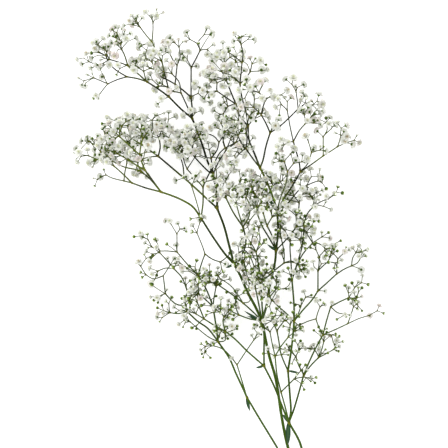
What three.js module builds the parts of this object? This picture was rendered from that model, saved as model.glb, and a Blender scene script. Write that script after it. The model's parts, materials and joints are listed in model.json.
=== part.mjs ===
// A cut stem of gypsophila, lying on its side: one branching green stem with its leaves, and the
// sprays of small double blooms and buds that grow from its knuckles.
// Millimetres, +Z up. The stem lies along Y with its cut end at -Y, and the surface is z = 0.
import * as THREE from 'three';

// ---- Driving dimensions ----

// Places on the plan are [x, down]: millimetres to the right of and below the corner of a plan sheet.
const ORIGIN = { x: 227.7, down: 257.8 }; // the plan point that lies over the origin
const CUT_END = [308, 508]; // the cut end of the stem, on the plan
const CUT_HEIGHT = 1.71; // of its axis there, so that it rests on the surface
const PEDICEL_RADIUS = 0.45; // a stalk that carries one head
const RADIUS_PER_DOUBLING = 0.115; // what each doubling of the heads carried adds to a stalk's radius
const KNUCKLE = 1.35; // a knuckle's radius, as a share of its stem's
const BLOOM_RADIUS = [2.9, 4.1]; // smallest and largest open bloom at the top of the plant
const BUD_RADIUS = [1.2, 1.9]; // smallest and largest bud there
const OPEN_SHARE = 0.6; // share of the heads there that are open blooms
const LATE = { from: 227, to: 347, size: 0.8, open: 0.72 }; // younger sprays: plan downs, shares left
const PETALS = 4; // petals round a bloom's rim
const SEAT_GAP = 0.35; // between a spray's foot and the stem that carries it
const CLEARANCE = 0.45; // between any two stalks or heads that don't grow from each other
const TOP = 128; // no head stands higher than this above the surface

// ---- Plan of the plant ----

const BUD = 0; // a stalk that ends in a single bud
const BLOOM = 1; // a stalk that ends in a single bloom; a larger number is a cyme of that many heads
const REST = -1; // a stalk that ends in a bloom lying face down on the surface

// The main stem: knuckle, the knuckle it grows from, its height, and the route to it on the plan.
const STEM = [
  ['fork_low', 'cut', 5, [[306, 499], [303, 489]]],
  ['left_low', 'fork_low', 16, [[291, 473], [277, 448], [260, 420], [247, 398]]],
  ['fork', 'fork_low', 10, [[299, 471]]],
  ['hub', 'fork', 36, [[290, 454], [283, 424], [276, 380], [269, 355], [262, 321]]],
  ['cross', 'fork', 30, [[303, 459], [300, 443], [289, 423]]],
  ['left_mid', 'cross', 48, [[284, 411], [274, 386], [264, 366]]],
  ['right_mid', 'cross', 46, [[291, 412], [290, 395], [288, 371]]],
  ['right_low', 'cross', 30, [[294, 410], [299, 393], [304, 375]]],
  ['inner', 'cross', 56, [[286, 410], [281, 392]]],
  ['centre', 'hub', 52, [[256, 308], [247, 291], [240, 275], [234, 264]]],
  ['upper', 'hub', 64, [[267, 304], [270, 285], [275, 262], [276, 250]]],
  ['right_hub', 'right_mid', 60, [[291, 352], [293, 335], [294, 321]]],
  ['top_low', 'centre', 44, [[229, 245], [224, 226], [217, 208]]],
  ['top_fork', 'top_low', 42, [[217, 196], [213, 174]]],
  ['crown_low', 'upper', 72, [[278, 230], [277, 210]]],
  ['crown', 'crown_low', 64, [[272, 195], [266, 180], [260, 168]]],
];

// The sprays: the knuckle each grows from, then its arms. An arm is its height at the end, its route
// on the plan, and what it carries there: BUD, BLOOM, REST, a number of heads, or a list of arms.
const SPRAYS = {
  low_left: ['left_low', [26, [[243, 389], [236, 374], [229, 358], [218, 342]], [
    [34, [[208, 337], [190, 322]], 4],
    [14, [[213, 335], [207, 328], [198, 322], [187, 312]], [
      [10, [[184, 307], [175, 304], [165, 294]], [
        [4, [[157, 289], [150, 284]], REST],
        [22, [[164, 284], [163, 276]], [
          [30, [[153, 279], [146, 275]], 4],
          [16, [[167, 270], [170, 265]], 3]]],
        [14, [[158, 297]], 3]]],
      [26, [[185, 303], [187, 291]], [
        [36, [[182, 278], [174, 269]], [
          [46, [[168, 262], [160, 253]], [[52, [[152, 247]], 4], [42, [[153, 254]], 3]]],
          [30, [[166, 268], [158, 271]], 4]]],
        [14, [[192, 285], [197, 277]], 3]]],
      [20, [[178, 314], [170, 313]], 4]]],
    [40, [[216, 326], [213, 307]], [
      [48, [[207, 291], [198, 275]], [
        [56, [[188, 265], [177, 252]], [
          [64, [[177, 243], [177, 234]], [
            [68, [[174, 229], [171, 224]], 3],
            [60, [[180, 229]], 2]]],
          [50, [[168, 251], [160, 251]], 4],
          [62, [[168, 245]], BUD]]],
        [54, [[202, 262], [205, 254]], [
          [60, [[202, 245], [197, 233]], 4],
          [48, [[212, 259], [220, 262]], 5]]],
        [62, [[189, 269], [180, 263]], 4]]],
      [34, [[214, 298], [216, 287]], 6],
      [58, [[207, 301], [199, 294]], 6]]],
    [16, [[225, 341], [225, 334]], 3]]]],
  low_sprig: ['left_low', [34, [[241, 378], [237, 365]], [
    [42, [[247, 350], [254, 340]], 4],
    [20, [[230, 356], [222, 349], [213, 346]], 4]]]],
  left_reach: ['left_mid', [54, [[247, 351], [236, 340], [225, 331]], [
    [64, [[223, 322], [224, 317]], 5],
    [44, [[217, 327], [204, 319]], [[38, [[196, 314]], 4], [52, [[200, 309], [197, 302]], 5]]],
    [66, [[231, 327]], BLOOM]]]],
  back: ['left_mid', [70, [[264, 350], [264, 335], [262, 305], [261, 281]], [
    [78, [[259, 268], [256, 252]], [[86, [[251, 243]], 4], [72, [[260, 240], [259, 233]], 5]]],
    [60, [[267, 277], [275, 270], [284, 263]], [
      [68, [[284, 252], [281, 238]], 6],
      [52, [[291, 261], [298, 264]], 4]]],
    [84, [[253, 276], [246, 270]], 6]]]],
  hub_up: ['hub', [44, [[258, 300], [255, 286]], [[36, [[248, 278]], 7], [52, [[262, 276]], 7]]]],
  hub_right: ['hub', [76, [[266, 308], [269, 298]], [[84, [[263, 288]], 7], [70, [[276, 289]], 6]]]],
  hub_low_left: ['hub', [36, [[250, 319], [239, 315]], [[28, [[229, 310]], 7], [44, [[235, 304]], 6]]]],
  hub_left: ['hub', [50, [[252, 311], [243, 303]], [
    [60, [[230, 293], [217, 284]], 8],
    [40, [[238, 295], [231, 286], [221, 279]], 8],
    [64, [[250, 301], [248, 295]], 4]]]],
  left_high: ['centre', [66, [[225, 254], [213, 237], [201, 218]], [
    [80, [[193, 207], [182, 200], [170, 195], [161, 192]], [
      [70, [[146, 188], [132, 183]], [
        [78, [[123, 174], [114, 166]], [
          [82, [[104, 162], [96, 159], [89, 156]], 7],
          [70, [[109, 157], [101, 152]], [[64, [[95, 145]], 5], [76, [[103, 143]], 4]]]]],
        [62, [[124, 181]], [
          [56, [[112, 178], [106, 175]], 3],
          [68, [[125, 172], [127, 163]], 5]]]]],
      [90, [[153, 181], [145, 170]], [
        [96, [[142, 162], [140, 155]], [
          [100, [[130, 146], [120, 137]], [[104, [[113, 130]], 5], [94, [[122, 127]], 5]]],
          [88, [[141, 147], [143, 139]], 6]]],
        [82, [[136, 165], [127, 159]], [[86, [[118, 154]], 5], [76, [[125, 149]], 5]]]]],
      [72, [[151, 180], [141, 171]], [
        [64, [[133, 169], [124, 167], [112, 161]], [[58, [[102, 157]], 5], [68, [[109, 153]], 4]]],
        [56, [[137, 162]], 4]]]]],
    [54, [[203, 203], [203, 187]], [
      [44, [[195, 178], [187, 169]], [
        [38, [[184, 161], [182, 152]], 6],
        [50, [[191, 163], [195, 157]], 5]]],
      [62, [[207, 178], [213, 166], [219, 154], [225, 148]], [
        [68, [[231, 145], [236, 142]], 6],
        [58, [[223, 141], [225, 132]], 6]]]]],
    [76, [[196, 200], [192, 187]], [[82, [[195, 178]], 3], [72, [[188, 181]], 3]]]]]],
  centre_tuft: ['centre', [62, [[238, 261], [239, 253]], [
    [68, [[238, 246]], 3],
    [54, [[244, 250], [250, 256]], 5]]]],
  mid_left: ['centre', [74, [[241, 256], [246, 242], [243, 227]], [
    [80, [[233, 212], [226, 198]], [[86, [[219, 188]], 6], [74, [[230, 188]], 6]]],
    [88, [[239, 214], [236, 203]], 7],
    [64, [[249, 216], [250, 206]], [[58, [[246, 197]], 6], [70, [[256, 198]], 6]]]]]],
  top_left_low: ['top_low', [30, [[205, 197], [192, 185], [184, 178]], [
    [20, [[171, 167], [158, 156]], [
      [16, [[148, 149], [141, 144]], [
        [12, [[131, 138]], [[8, [[122, 134]], 5], [20, [[128, 128]], 5]]],
        [26, [[141, 133]], 7]]],
      [30, [[160, 147], [159, 138]], [[36, [[153, 130]], 5], [24, [[162, 128]], 4]]],
      [8, [[148, 157], [139, 160]], 5]]],
    [40, [[183, 166], [180, 156]], [[48, [[173, 147]], 7], [34, [[184, 146]], 6]]],
    [28, [[177, 180]], BLOOM]]]],
  top_mid: ['top_fork', [34, [[212, 165], [211, 158]], [
    [26, [[217, 150], [219, 142]], [
      [20, [[214, 136], [206, 133]], 8],
      [32, [[223, 136], [226, 129]], 7]]],
    [42, [[205, 157], [197, 153]], 7]]]],
  top_inner: ['top_fork', [54, [[208, 171], [200, 163], [192, 154]], [
    [60, [[186, 147]], 8],
    [48, [[193, 144]], 7]]]],
  top_right: ['top_fork', [30, [[219, 161], [226, 150]], [
    [22, [[234, 144]], 6],
    [38, [[231, 138]], 6]]]],
  top: ['top_fork', [46, [[207, 160], [203, 147], [197, 130], [192, 118]], [
    [32, [[192, 108], [191, 97]], [
      [20, [[191, 80], [191, 67]], [
        [26, [[196, 58], [200, 50]], [
          [22, [[197, 43]], [[18, [[204, 34]], 3], [28, [[190, 39]], 3]]],
          [32, [[206, 40], [211, 33]], BLOOM],
          [36, [[207, 49]], 2]]],
        [4, [[187, 62], [183, 57]], REST],
        [30, [[187, 59]], 4]]],
      [44, [[183, 90], [175, 84]], [
        [54, [[168, 80], [160, 76], [155, 70]], [[60, [[152, 62]], 5], [48, [[146, 66]], 4]]],
        [38, [[176, 75], [177, 65]], [
          [34, [[180, 57], [179, 47]], 4],
          [44, [[173, 60], [170, 54]], 6]]]]],
      [24, [[198, 93]], 2]]],
    [60, [[187, 106], [181, 93]], [
      [70, [[179, 82], [172, 74]], 5],
      [54, [[173, 91], [167, 87]], 5]]],
    [72, [[182, 110], [169, 97]], [
      [80, [[158, 89], [147, 82]], [
        [88, [[138, 74], [128, 66]], [
          [94, [[125, 56], [122, 50]], 8],
          [84, [[117, 62], [110, 60]], 6]]],
        [72, [[138, 79], [127, 77]], [
          [64, [[117, 80], [108, 84]], [
            [60, [[101, 81], [94, 78]], 4],
            [68, [[100, 94]], 3]]],
          [78, [[117, 71], [110, 65]], [[82, [[99, 66]], 4], [74, [[106, 56]], 4]]]]],
        [92, [[144, 72]], 6]]],
      [64, [[168, 87], [165, 75], [162, 62]], [
        [56, [[157, 52], [152, 42]], [
          [50, [[146, 35], [140, 27]], 7],
          [60, [[153, 30], [153, 23]], 5]]],
        [72, [[155, 58]], 4]]]]]]]],
  crown_left: ['crown', [52, [[255, 155], [249, 140], [248, 126]], [
    [40, [[240, 116], [236, 104]], [
      [26, [[231, 92], [226, 79]], [
        [16, [[222, 71]], [[4, [[216, 64], [212, 60]], REST], [24, [[224, 63]], 5]]],
        [36, [[230, 70]], 5],
        [28, [[217, 77]], 5]]],
      [50, [[227, 98], [217, 91]], [[56, [[217, 83]], 5], [46, [[208, 92]], 4]]],
      [30, [[228, 106]], 6]]],
    [64, [[246, 112], [242, 98], [240, 84]], [
      [72, [[241, 74], [242, 63]], [
        [78, [[235, 57], [229, 53]], 4],
        [68, [[243, 54], [241, 45]], 6]]],
      [58, [[246, 78], [250, 72]], [[52, [[259, 71]], 3], [64, [[252, 64]], 4]]],
      [56, [[233, 76]], 4]]],
    [46, [[254, 119]], 5]]]],
  crown_mid: ['crown', [78, [[253, 159], [246, 149]], [
    [86, [[241, 143], [238, 136]], 7],
    [72, [[247, 139], [246, 129]], [[78, [[239, 121]], 6], [66, [[249, 117]], 6]]],
    [90, [[239, 154]], 7]]]],
  crown_right: ['crown', [80, [[263, 160], [266, 146], [270, 133]], [
    [86, [[266, 124], [261, 115]], [
      [92, [[263, 107], [265, 101]], [[96, [[271, 96]], 4], [86, [[259, 93]], 5]]],
      [78, [[254, 108]], 6]]],
    [72, [[279, 127], [288, 119], [298, 109]], [
      [66, [[297, 99], [296, 92]], 5],
      [78, [[305, 104]], 5]]],
    [90, [[275, 125]], 3]]]],
  upper_right: ['upper', [76, [[283, 243], [290, 235]], [
    [82, [[296, 227]], 6],
    [68, [[299, 239]], 5]]]],
  upper_left: ['upper', [54, [[268, 236], [262, 226], [257, 213]], [
    [48, [[252, 203], [250, 195]], 8],
    [60, [[260, 203], [262, 193]], 8],
    [42, [[250, 220]], 6]]]],
  upper_back: ['upper', [84, [[272, 236], [267, 226]], [
    [90, [[263, 213]], 7],
    [78, [[272, 217]], 6]]]],
  right_high: ['crown_low', [90, [[285, 197], [294, 183], [300, 172]], [
    [98, [[299, 163], [296, 152], [293, 142]], [
      [102, [[290, 128], [288, 117], [287, 111]], [[108, [[281, 105]], 3], [98, [[287, 102]], 3]]],
      [90, [[299, 131], [305, 124]], [[84, [[311, 117]], 3], [94, [[304, 115]], 3]]],
      [110, [[284, 145]], 3]]],
    [78, [[312, 164], [323, 156]], [
      [72, [[323, 146], [323, 137]], [
        [66, [[327, 130], [326, 123]], 3],
        [78, [[331, 129]], 4],
        [70, [[318, 132]], BLOOM]]],
      [84, [[331, 151], [337, 147]], [[90, [[340, 138]], 4], [76, [[346, 143]], 3]]]]],
    [100, [[308, 163], [311, 153]], 6]]]],
  crown_back: ['crown_low', [104, [[281, 196], [286, 182], [287, 172]], [
    [110, [[284, 162]], 6],
    [98, [[293, 164]], 5]]]],
  right_fan: ['crown_low', [66, [[288, 203], [298, 191], [306, 186]], [
    [60, [[312, 183], [318, 181]], 4],
    [74, [[311, 177]], 3],
    [54, [[308, 194]], 5]]]],
  crown_fan: ['crown_low', [60, [[272, 203], [268, 195]], [[54, [[265, 185]], 7], [68, [[273, 186]], 7]]]],
  crown_twig: ['crown_low', [46, [[283, 201], [286, 191]], [[40, [[280, 181]], 7], [54, [[292, 182]], 7]]]],
  right_up: ['right_hub', [52, [[294, 305], [292, 280]], [
    [62, [[291, 263], [290, 250], [290, 241]], [[68, [[285, 231]], 5], [56, [[294, 230]], 5]]],
    [42, [[296, 268], [303, 254], [313, 243]], [
      [36, [[322, 237]], 3],
      [50, [[309, 237], [305, 231]], 5],
      [32, [[320, 244], [326, 249]], 3]]],
    [74, [[297, 264], [302, 246], [304, 226]], [
      [82, [[307, 214], [315, 205]], [[88, [[322, 201], [328, 199]], 5], [76, [[312, 197]], 4]]],
      [66, [[299, 214], [299, 203]], [[60, [[294, 196]], 5], [72, [[303, 193]], 5]]]]]]]],
  right_reach: ['right_hub', [46, [[303, 310], [312, 300], [318, 291]], [
    [54, [[318, 281], [318, 271]], [
      [62, [[319, 264], [319, 257]], [[68, [[324, 251]], 3], [58, [[316, 250]], 3]]],
      [46, [[323, 266], [328, 262]], [[40, [[331, 254]], 3], [52, [[335, 263]], 3]]],
      [66, [[314, 267]], 3]]],
    [34, [[327, 283], [337, 274]], [
      [22, [[345, 269], [352, 266]], [
        [18, [[358, 263], [361, 258]], 3],
        [32, [[353, 258], [356, 253]], 3],
        [4, [[358, 268], [362, 270]], REST]]],
      [44, [[337, 266], [338, 259]], [[50, [[344, 253]], 3], [38, [[334, 254]], 3]]]]]]]],
  hub_twig: ['right_hub', [72, [[286, 313], [278, 306], [272, 300]], 6]],
  hub_bud: ['right_hub', [40, [[299, 312], [301, 306]], 6]],
  mid_twig: ['right_mid', [58, [[281, 354], [279, 342], [277, 331]], [
    [66, [[272, 321]], 5],
    [52, [[284, 321]], 5]]]],
  inner_high: ['inner', [70, [[277, 375], [275, 356]], [
    [78, [[281, 346], [288, 337]], [[84, [[290, 325]], 5], [72, [[295, 331]], 3]]],
    [64, [[272, 343], [270, 332]], 5]]]],
  inner_low: ['inner', [62, [[285, 388], [294, 379]], 4]],
  low_tuft: ['right_low', [42, [[299, 366], [296, 357]], 7]],
  low_right: ['right_low', [22, [[311, 366], [319, 358]], [
    [30, [[322, 350], [324, 342]], 4],
    [12, [[327, 354], [334, 350]], 4],
    [20, [[315, 350]], 3]]]],
  right_out: ['right_low', [38, [[309, 363], [316, 348], [323, 335]], [
    [48, [[318, 325], [316, 319]], [
      [54, [[318, 312], [320, 307]], 3],
      [42, [[309, 321], [302, 324]], 4]]],
    [30, [[327, 320], [331, 307]], [
      [24, [[340, 302], [349, 298]], [[18, [[353, 292], [355, 288]], 4], [30, [[356, 299]], 2]]],
      [38, [[338, 313], [345, 314]], 2]]],
    [22, [[335, 330], [348, 324]], [
      [14, [[359, 319], [369, 316]], 4],
      [32, [[351, 316], [354, 307]], 3]]],
    [34, [[331, 335]], 3]]]],
};

// Leaves: the knuckle, the tip on the plan, the tip's height, and the blade's width.
const LEAVES = {
  leaf_left_low: ['left_low', [250, 412], 10, 3.4],
  leaf_cross: ['cross', [288, 446], 20, 5.2],
  leaf_cross_left: ['cross', [283, 415], 24, 3.4],
  leaf_inner: ['left_mid', [256, 368], 42, 2.6],
  leaf_right_mid: ['right_mid', [300, 373], 44, 2.4],
  leaf_hub_long: ['hub', [244, 311], 30, 2.6],
  leaf_hub_short: ['hub', [247, 316], 40, 2.4],
  leaf_centre: ['centre', [226, 268], 48, 2.6],
  leaf_crown: ['crown_low', [268, 199], 82, 4.2],
  leaf_upper: ['upper', [267, 244], 72, 2.8],
};

// ---- Growing the plant ----

const v3 = (x, y, z) => new THREE.Vector3(x, y, z);
const UP = v3(0, 0, 1);
const onPlan = ([x, down], height) => v3(x - ORIGIN.x, ORIGIN.down - down, height);
const mix = ([low, high], share) => low + (high - low) * share;
const degrees = (angle) => (angle * Math.PI) / 180;

let seed = 11;
function random() {
  seed = (Math.imul(seed, 1664525) + 1013904223) >>> 0;
  return seed / 4294967296;
}

// Everything placed so far, as balls { at, radius, ends }, so that what grows later keeps clear of it.
// The ends are the two knuckles that a stalk joins: near a knuckle, its own stalks may be close.
const placed = [];
const BALL_STEP = 1.5; // between the balls along a stalk
const FORK_REACH = 5; // how far from their knuckle two stalks may be close

const isNear = (ball, knuckle) =>
  ball.ends.includes(knuckle) && ball.at.distanceTo(knuckle.point) < FORK_REACH;

function isClear(balls, others = placed) {
  return balls.every((ball) => {
    if (ball.at.z - ball.radius < CLEARANCE || ball.at.z + ball.radius > TOP) return false;
    const knuckle = ball.ends[0];
    const close = isNear(ball, knuckle);
    return others.every((other) => (close && isNear(other, knuckle))
      || ball.at.distanceTo(other.at) >= ball.radius + other.radius + CLEARANCE);
  });
}

// Balls of one radius along a run of straight stretches, from the first point to the last.
function ballsAlong(points, radius, ends) {
  const balls = [];
  for (let i = 1; i < points.length; i++) {
    const steps = Math.ceil(points[i].distanceTo(points[i - 1]) / BALL_STEP);
    for (let k = 1; k <= steps; k++) {
      balls.push({ at: points[i - 1].clone().lerp(points[i], k / steps), radius, ends });
    }
  }
  return balls;
}

// A knuckle, or the foot of a head, with the route that leads to it from the knuckle it grows from.
function newKnuckle(parent, route) {
  return { parent, route, point: route[route.length - 1], arms: [], head: null };
}

function direction(knuckle) {
  const route = knuckle.route;
  return route[route.length - 1].clone().sub(route[route.length - 2]).normalize();
}

// The points of an arm: it rises evenly along its plan length from its parent's height to its own.
function risingRoute(start, plan, height) {
  const flat = [start, ...plan.map((place) => onPlan(place, start.z))];
  const along = [0];
  for (let i = 1; i < flat.length; i++) along.push(along[i - 1] + flat[i].distanceTo(flat[i - 1]));
  const length = along[along.length - 1];
  return flat.map((p, i) => v3(p.x, p.y, start.z + ((height - start.z) * along[i]) / length));
}

const LIFTS = [0, 4, -4, 8, -8, 12, -12, 16, -16, 20, -20, 24, -24]; // tried in turn
const ARM_RADIUS = 1;
const HEAD_ROOM = { ahead: 7, radius: 6 }; // kept for the heads at an arm's end
const rooms = [];
const openEnds = []; // knuckles on the plan that still need their heads: [knuckle, number of heads]

// The space that the heads at an arm's end will fill.
function roomAt(knuckle) {
  const at = knuckle.point.clone().addScaledVector(direction(knuckle), HEAD_ROOM.ahead);
  return { at, radius: HEAD_ROOM.radius, ends: [knuckle.parent, knuckle] };
}

function growArm(parent, [height, plan, carries]) {
  const tries = (carries === REST ? [0] : LIFTS).map((lift) => {
    const knuckle = newKnuckle(parent, risingRoute(parent.point, plan, height + lift));
    const balls = ballsAlong(knuckle.route, ARM_RADIUS, [parent, knuckle]);
    const room = Number.isInteger(carries) && carries > BLOOM ? [roomAt(knuckle)] : [];
    return { knuckle, balls, room };
  });
  const isRoomy = (one) => isClear(one.balls, rooms) && isClear(one.room, [...placed, ...rooms]);
  const clear = tries.filter((one) => isClear(one.balls));
  const { knuckle, balls, room } = clear.find(isRoomy) ?? clear[0] ?? tries[0];
  parent.arms.push(knuckle);
  placed.push(...balls);
  rooms.push(...room);
  if (Array.isArray(carries)) for (const arm of carries) growArm(knuckle, arm);
  else if (carries === REST) setRestingHead(knuckle);
  else openEnds.push([knuckle, carries]);
}

function setRestingHead(knuckle) {
  knuckle.head = { kind: 'rest', size: mix(BLOOM_RADIUS, 0.5), face: UP.clone().negate() };
  placed.push({ at: knuckle.point, radius: knuckle.head.size, ends: [knuckle] });
}

const FACE_UP = 0.45; // how far a head turns from its stalk's direction towards the light

// What is left here of the top's size or share of open heads: the lower sprays are younger.
function lateness({ y }, least) {
  const down = ORIGIN.down - y;
  const late = Math.min(1, Math.max(0, (down - LATE.from) / (LATE.to - LATE.from)));
  return 1 + (least - 1) * late;
}

function headOf(knuckle, open, size) {
  const face = direction(knuckle).addScaledVector(UP, FACE_UP).normalize();
  return { kind: open ? 'bloom' : 'bud', size, face };
}

const HEAD_MIDDLE = 0.45; // height of a head's middle over its foot, as a share of its radius

function headBall(knuckle, { size, face }) {
  const at = knuckle.point.clone().addScaledVector(face, size * HEAD_MIDDLE);
  return { at, radius: size, ends: [knuckle] };
}

// Turns away from an axis: `spread` off it, on the side that `roll` gives.
function turned(axis, spread, roll) {
  const side = Math.abs(axis.z) < 0.9 ? v3(-axis.y, axis.x, 0) : v3(1, 0, -axis.x / axis.z);
  side.normalize().applyAxisAngle(axis, roll);
  return axis.clone().multiplyScalar(Math.cos(spread)).addScaledVector(side, Math.sin(spread));
}

const TRIES = 16;
const TRY_SHRINK = 0.012; // what each try takes off a stalk's length and its head's size
const PEDICEL_LENGTH = [4.2, 7.4];
const TWIG_LENGTH = [6.5, 11];
const TWIG_RADIUS = 0.55;
const ROLL_JITTER = [-25, 25]; // degrees

// One stalk off a knuckle, ending in a head or, with more heads to carry, in a smaller fork.
function growStalk(parent, axis, roll, spread, heads) {
  const open = random() < OPEN_SHARE * lateness(parent.point, LATE.open);
  for (let attempt = 0; attempt < TRIES; attempt++) {
    const wide = degrees(mix(spread, random()) + attempt);
    const away = turned(axis, wide, roll + degrees(mix(ROLL_JITTER, random())));
    const shrink = 1 - attempt * TRY_SHRINK;
    const length = mix(heads > 1 ? TWIG_LENGTH : PEDICEL_LENGTH, random()) * shrink;
    const full = mix(open ? BLOOM_RADIUS : BUD_RADIUS, random()) * shrink;
    const end = parent.point.clone().addScaledVector(away, length);
    const knuckle = newKnuckle(parent, [parent.point, end]);
    const radius = heads > 1 ? TWIG_RADIUS : PEDICEL_RADIUS;
    const balls = ballsAlong(knuckle.route, radius, [parent, knuckle]);
    if (heads === 1) knuckle.head = headOf(knuckle, open, full * lateness(parent.point, LATE.size));
    const ball = heads === 1 ? [headBall(knuckle, knuckle.head)] : [];
    if (!isClear(balls) || !isClear(ball)) continue;
    parent.arms.push(knuckle);
    placed.push(...balls, ...ball);
    if (heads > 1) growCyme(knuckle, away, roll + Math.PI / 2, heads);
    return;
  }
  if (heads > 1) growStalk(parent, axis, roll, spread, 1);
}

const CENTRE_SPREAD = [4, 20]; // degrees off the axis, for the oldest head, in the middle of a fork
const SIDE_SPREAD = [37, 54]; // degrees off the axis, for the two side stalks of a fork

// A fork as gypsophila makes it: two side stalks, and one head between them.
function growCyme(knuckle, axis, roll, heads) {
  const sides = heads > 2 ? heads - 1 : heads;
  growStalk(knuckle, axis, roll, SIDE_SPREAD, Math.ceil(sides / 2));
  if (sides > 1) growStalk(knuckle, axis, roll + Math.PI, SIDE_SPREAD, Math.floor(sides / 2));
  if (heads > 2) growStalk(knuckle, axis, roll + Math.PI / 2, CENTRE_SPREAD, 1);
  if (!knuckle.arms.length) setHead(knuckle, BLOOM_RADIUS);
}

const HEAD_SHRINK = 0.85;

// Ends a stalk in a single head, of the largest size that has room.
function setHead(knuckle, sizes) {
  let size = mix(sizes, 0.6);
  do {
    knuckle.head = headOf(knuckle, size > BUD_RADIUS[1], size);
    size *= HEAD_SHRINK;
  } while (size > BUD_RADIUS[0] && !isClear([headBall(knuckle, knuckle.head)], placed.filter(
    (ball) => !ball.ends.includes(knuckle))));
  placed.push(headBall(knuckle, knuckle.head));
}

// The heads at an arm's end: a cyme, or a single head.
function growEnd(knuckle, heads) {
  if (heads > BLOOM) growCyme(knuckle, direction(knuckle), mix([0, 2 * Math.PI], random()), heads);
  else setHead(knuckle, heads === BUD ? BUD_RADIUS : BLOOM_RADIUS);
}

const LIMB_ROOM = 1.3; // radius kept clear round the main stem's limbs
const knuckles = { cut: newKnuckle(null, [onPlan(CUT_END, CUT_HEIGHT)]) };
for (const [name, from, height, plan] of STEM) {
  const parent = knuckles[from];
  knuckles[name] = newKnuckle(parent, risingRoute(parent.point, plan, height));
  parent.arms.push(knuckles[name]);
  placed.push(...ballsAlong(knuckles[name].route, LIMB_ROOM, [parent, knuckles[name]]));
}
const stemKnuckles = Object.values(knuckles);
for (const [from, place, height, width] of Object.values(LEAVES)) {
  const tip = onPlan(place, height);
  placed.push(...ballsAlong([knuckles[from].point, tip], width / 2, [knuckles[from]]));
}
for (const [from, arm] of Object.values(SPRAYS)) growArm(knuckles[from], arm);
for (const [knuckle, heads] of openEnds) growEnd(knuckle, heads);

function countHeads(knuckle) {
  knuckle.heads = knuckle.head ? 1 : 0;
  for (const arm of knuckle.arms) knuckle.heads += countHeads(arm);
  return knuckle.heads;
}
countHeads(knuckles.cut);
const radiusOf = (knuckle) => PEDICEL_RADIUS + RADIUS_PER_DOUBLING * Math.log2(Math.max(1, knuckle.heads));

// Buds are many and small, so only some are in the solids: one in BUDS_PER_SOLID, and one wherever a
// fork would be left bare.
const BUDS_PER_SOLID = 6;
let budsSeen = 0;

function thinBuds(knuckle) {
  knuckle.arms.forEach(thinBuds);
  const isBud = (arm) => arm.head?.kind === 'bud';
  const kept = knuckle.arms.filter((arm) => !isBud(arm) || budsSeen++ % BUDS_PER_SOLID === 0);
  knuckle.arms = kept.length ? kept : knuckle.arms.slice(0, 1);
}

const LEAST_BEND = 0.7; // a route's point this close to the line past it needs no ring of its own

function straightened(route) {
  const kept = [route[0]];
  for (let i = 1; i < route.length - 1; i++) {
    const line = new THREE.Line3(kept[kept.length - 1], route[i + 1]);
    const off = line.closestPointToPoint(route[i], true, v3(0, 0, 0)).distanceTo(route[i]);
    if (off > LEAST_BEND) kept.push(route[i]);
  }
  return [...kept, route[route.length - 1]];
}

// ---- Skins: closed surfaces that grow ring by ring, so that a whole spray is one body ----

class Skin {
  positions = [];
  faces = [];

  point(p) {
    this.positions.push(p.clone());
    return this.positions.length - 1;
  }

  // Points round a centre, anticlockwise about the axis; `radii` repeat round the ring.
  ring(centre, axis, start, radii, count, drop = 0) {
    const across = axis.clone().cross(start).normalize();
    return Array.from({ length: count }, (_, i) => {
      const angle = (2 * Math.PI * i) / count;
      const radius = radii[i % radii.length];
      return this.point(centre.clone()
        .addScaledVector(start, Math.cos(angle) * radius)
        .addScaledVector(across, Math.sin(angle) * radius)
        .addScaledVector(axis, i % 2 ? -drop : 0));
    });
  }

  centre(ring) {
    return ring.reduce((sum, a) => sum.add(this.positions[a]), v3(0, 0, 0)).divideScalar(ring.length);
  }

  // The skin between two rings, which may differ in their number of points.
  zip(low, high) {
    const shift = this.centre(high).sub(this.centre(low));
    const gap = (a, b) => this.positions[a].clone().add(shift).distanceTo(this.positions[b]);
    const facing = (k) => Math.round((k * high.length) / low.length);
    const twist = high.map((_, turn) =>
      low.reduce((sum, a, k) => sum + gap(a, high[(turn + facing(k)) % high.length]), 0));
    const first = twist.indexOf(Math.min(...twist));
    let i = 0;
    let j = 0;
    while (i < low.length || j < high.length) {
      const a = low[i % low.length];
      const a2 = low[(i + 1) % low.length];
      const b = high[(first + j) % high.length];
      const b2 = high[(first + j + 1) % high.length];
      const lag = (i + 1) / low.length - (j + 1) / high.length;
      if (lag < 0 || (lag === 0 && gap(a2, b) < gap(a, b2))) {
        this.faces.push([a, a2, b]);
        i++;
      } else {
        this.faces.push([a, b2, b]);
        j++;
      }
    }
  }

  fan(ring, apex) {
    ring.forEach((a, i) => this.faces.push([a, ring[(i + 1) % ring.length], apex]));
  }

  geometry() {
    const made = new THREE.BufferGeometry();
    const numbers = this.positions.flatMap((p) => [...p]);
    made.setAttribute('position', new THREE.Float32BufferAttribute(numbers, 3));
    made.setIndex(this.faces.flat());
    return made;
  }
}

const perpendicular = (axis, near) => near.clone().addScaledVector(axis, -near.dot(axis)).normalize();

// A start vector for a ring about `axis` that carries on the turn of the ring before it.
function carriedOn(skin, ring, centre, axis) {
  const near = skin.positions[ring[0]].clone().sub(centre);
  const start = perpendicular(axis, near);
  return start.lengthSq() > 0.5 ? start : perpendicular(axis, v3(0.3, 0.5, 0.8));
}

const LIMB_SIDES = 6; // sides of the main stem's limbs; the finer stalks have three
const limbsOf = (knuckle) => knuckle.arms.filter((arm) => stemKnuckles.includes(arm));

const HUB_RISE = 0.75; // height of a fork's peak over its ring, as a share of the ring's radius
const COLLAR_DROP = 0.4; // how far that ring lies before the knuckle, as a share of the same
const BEND_RADIUS = 1.1; // a ring at a bend, as a share of the stalk's radius

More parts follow.
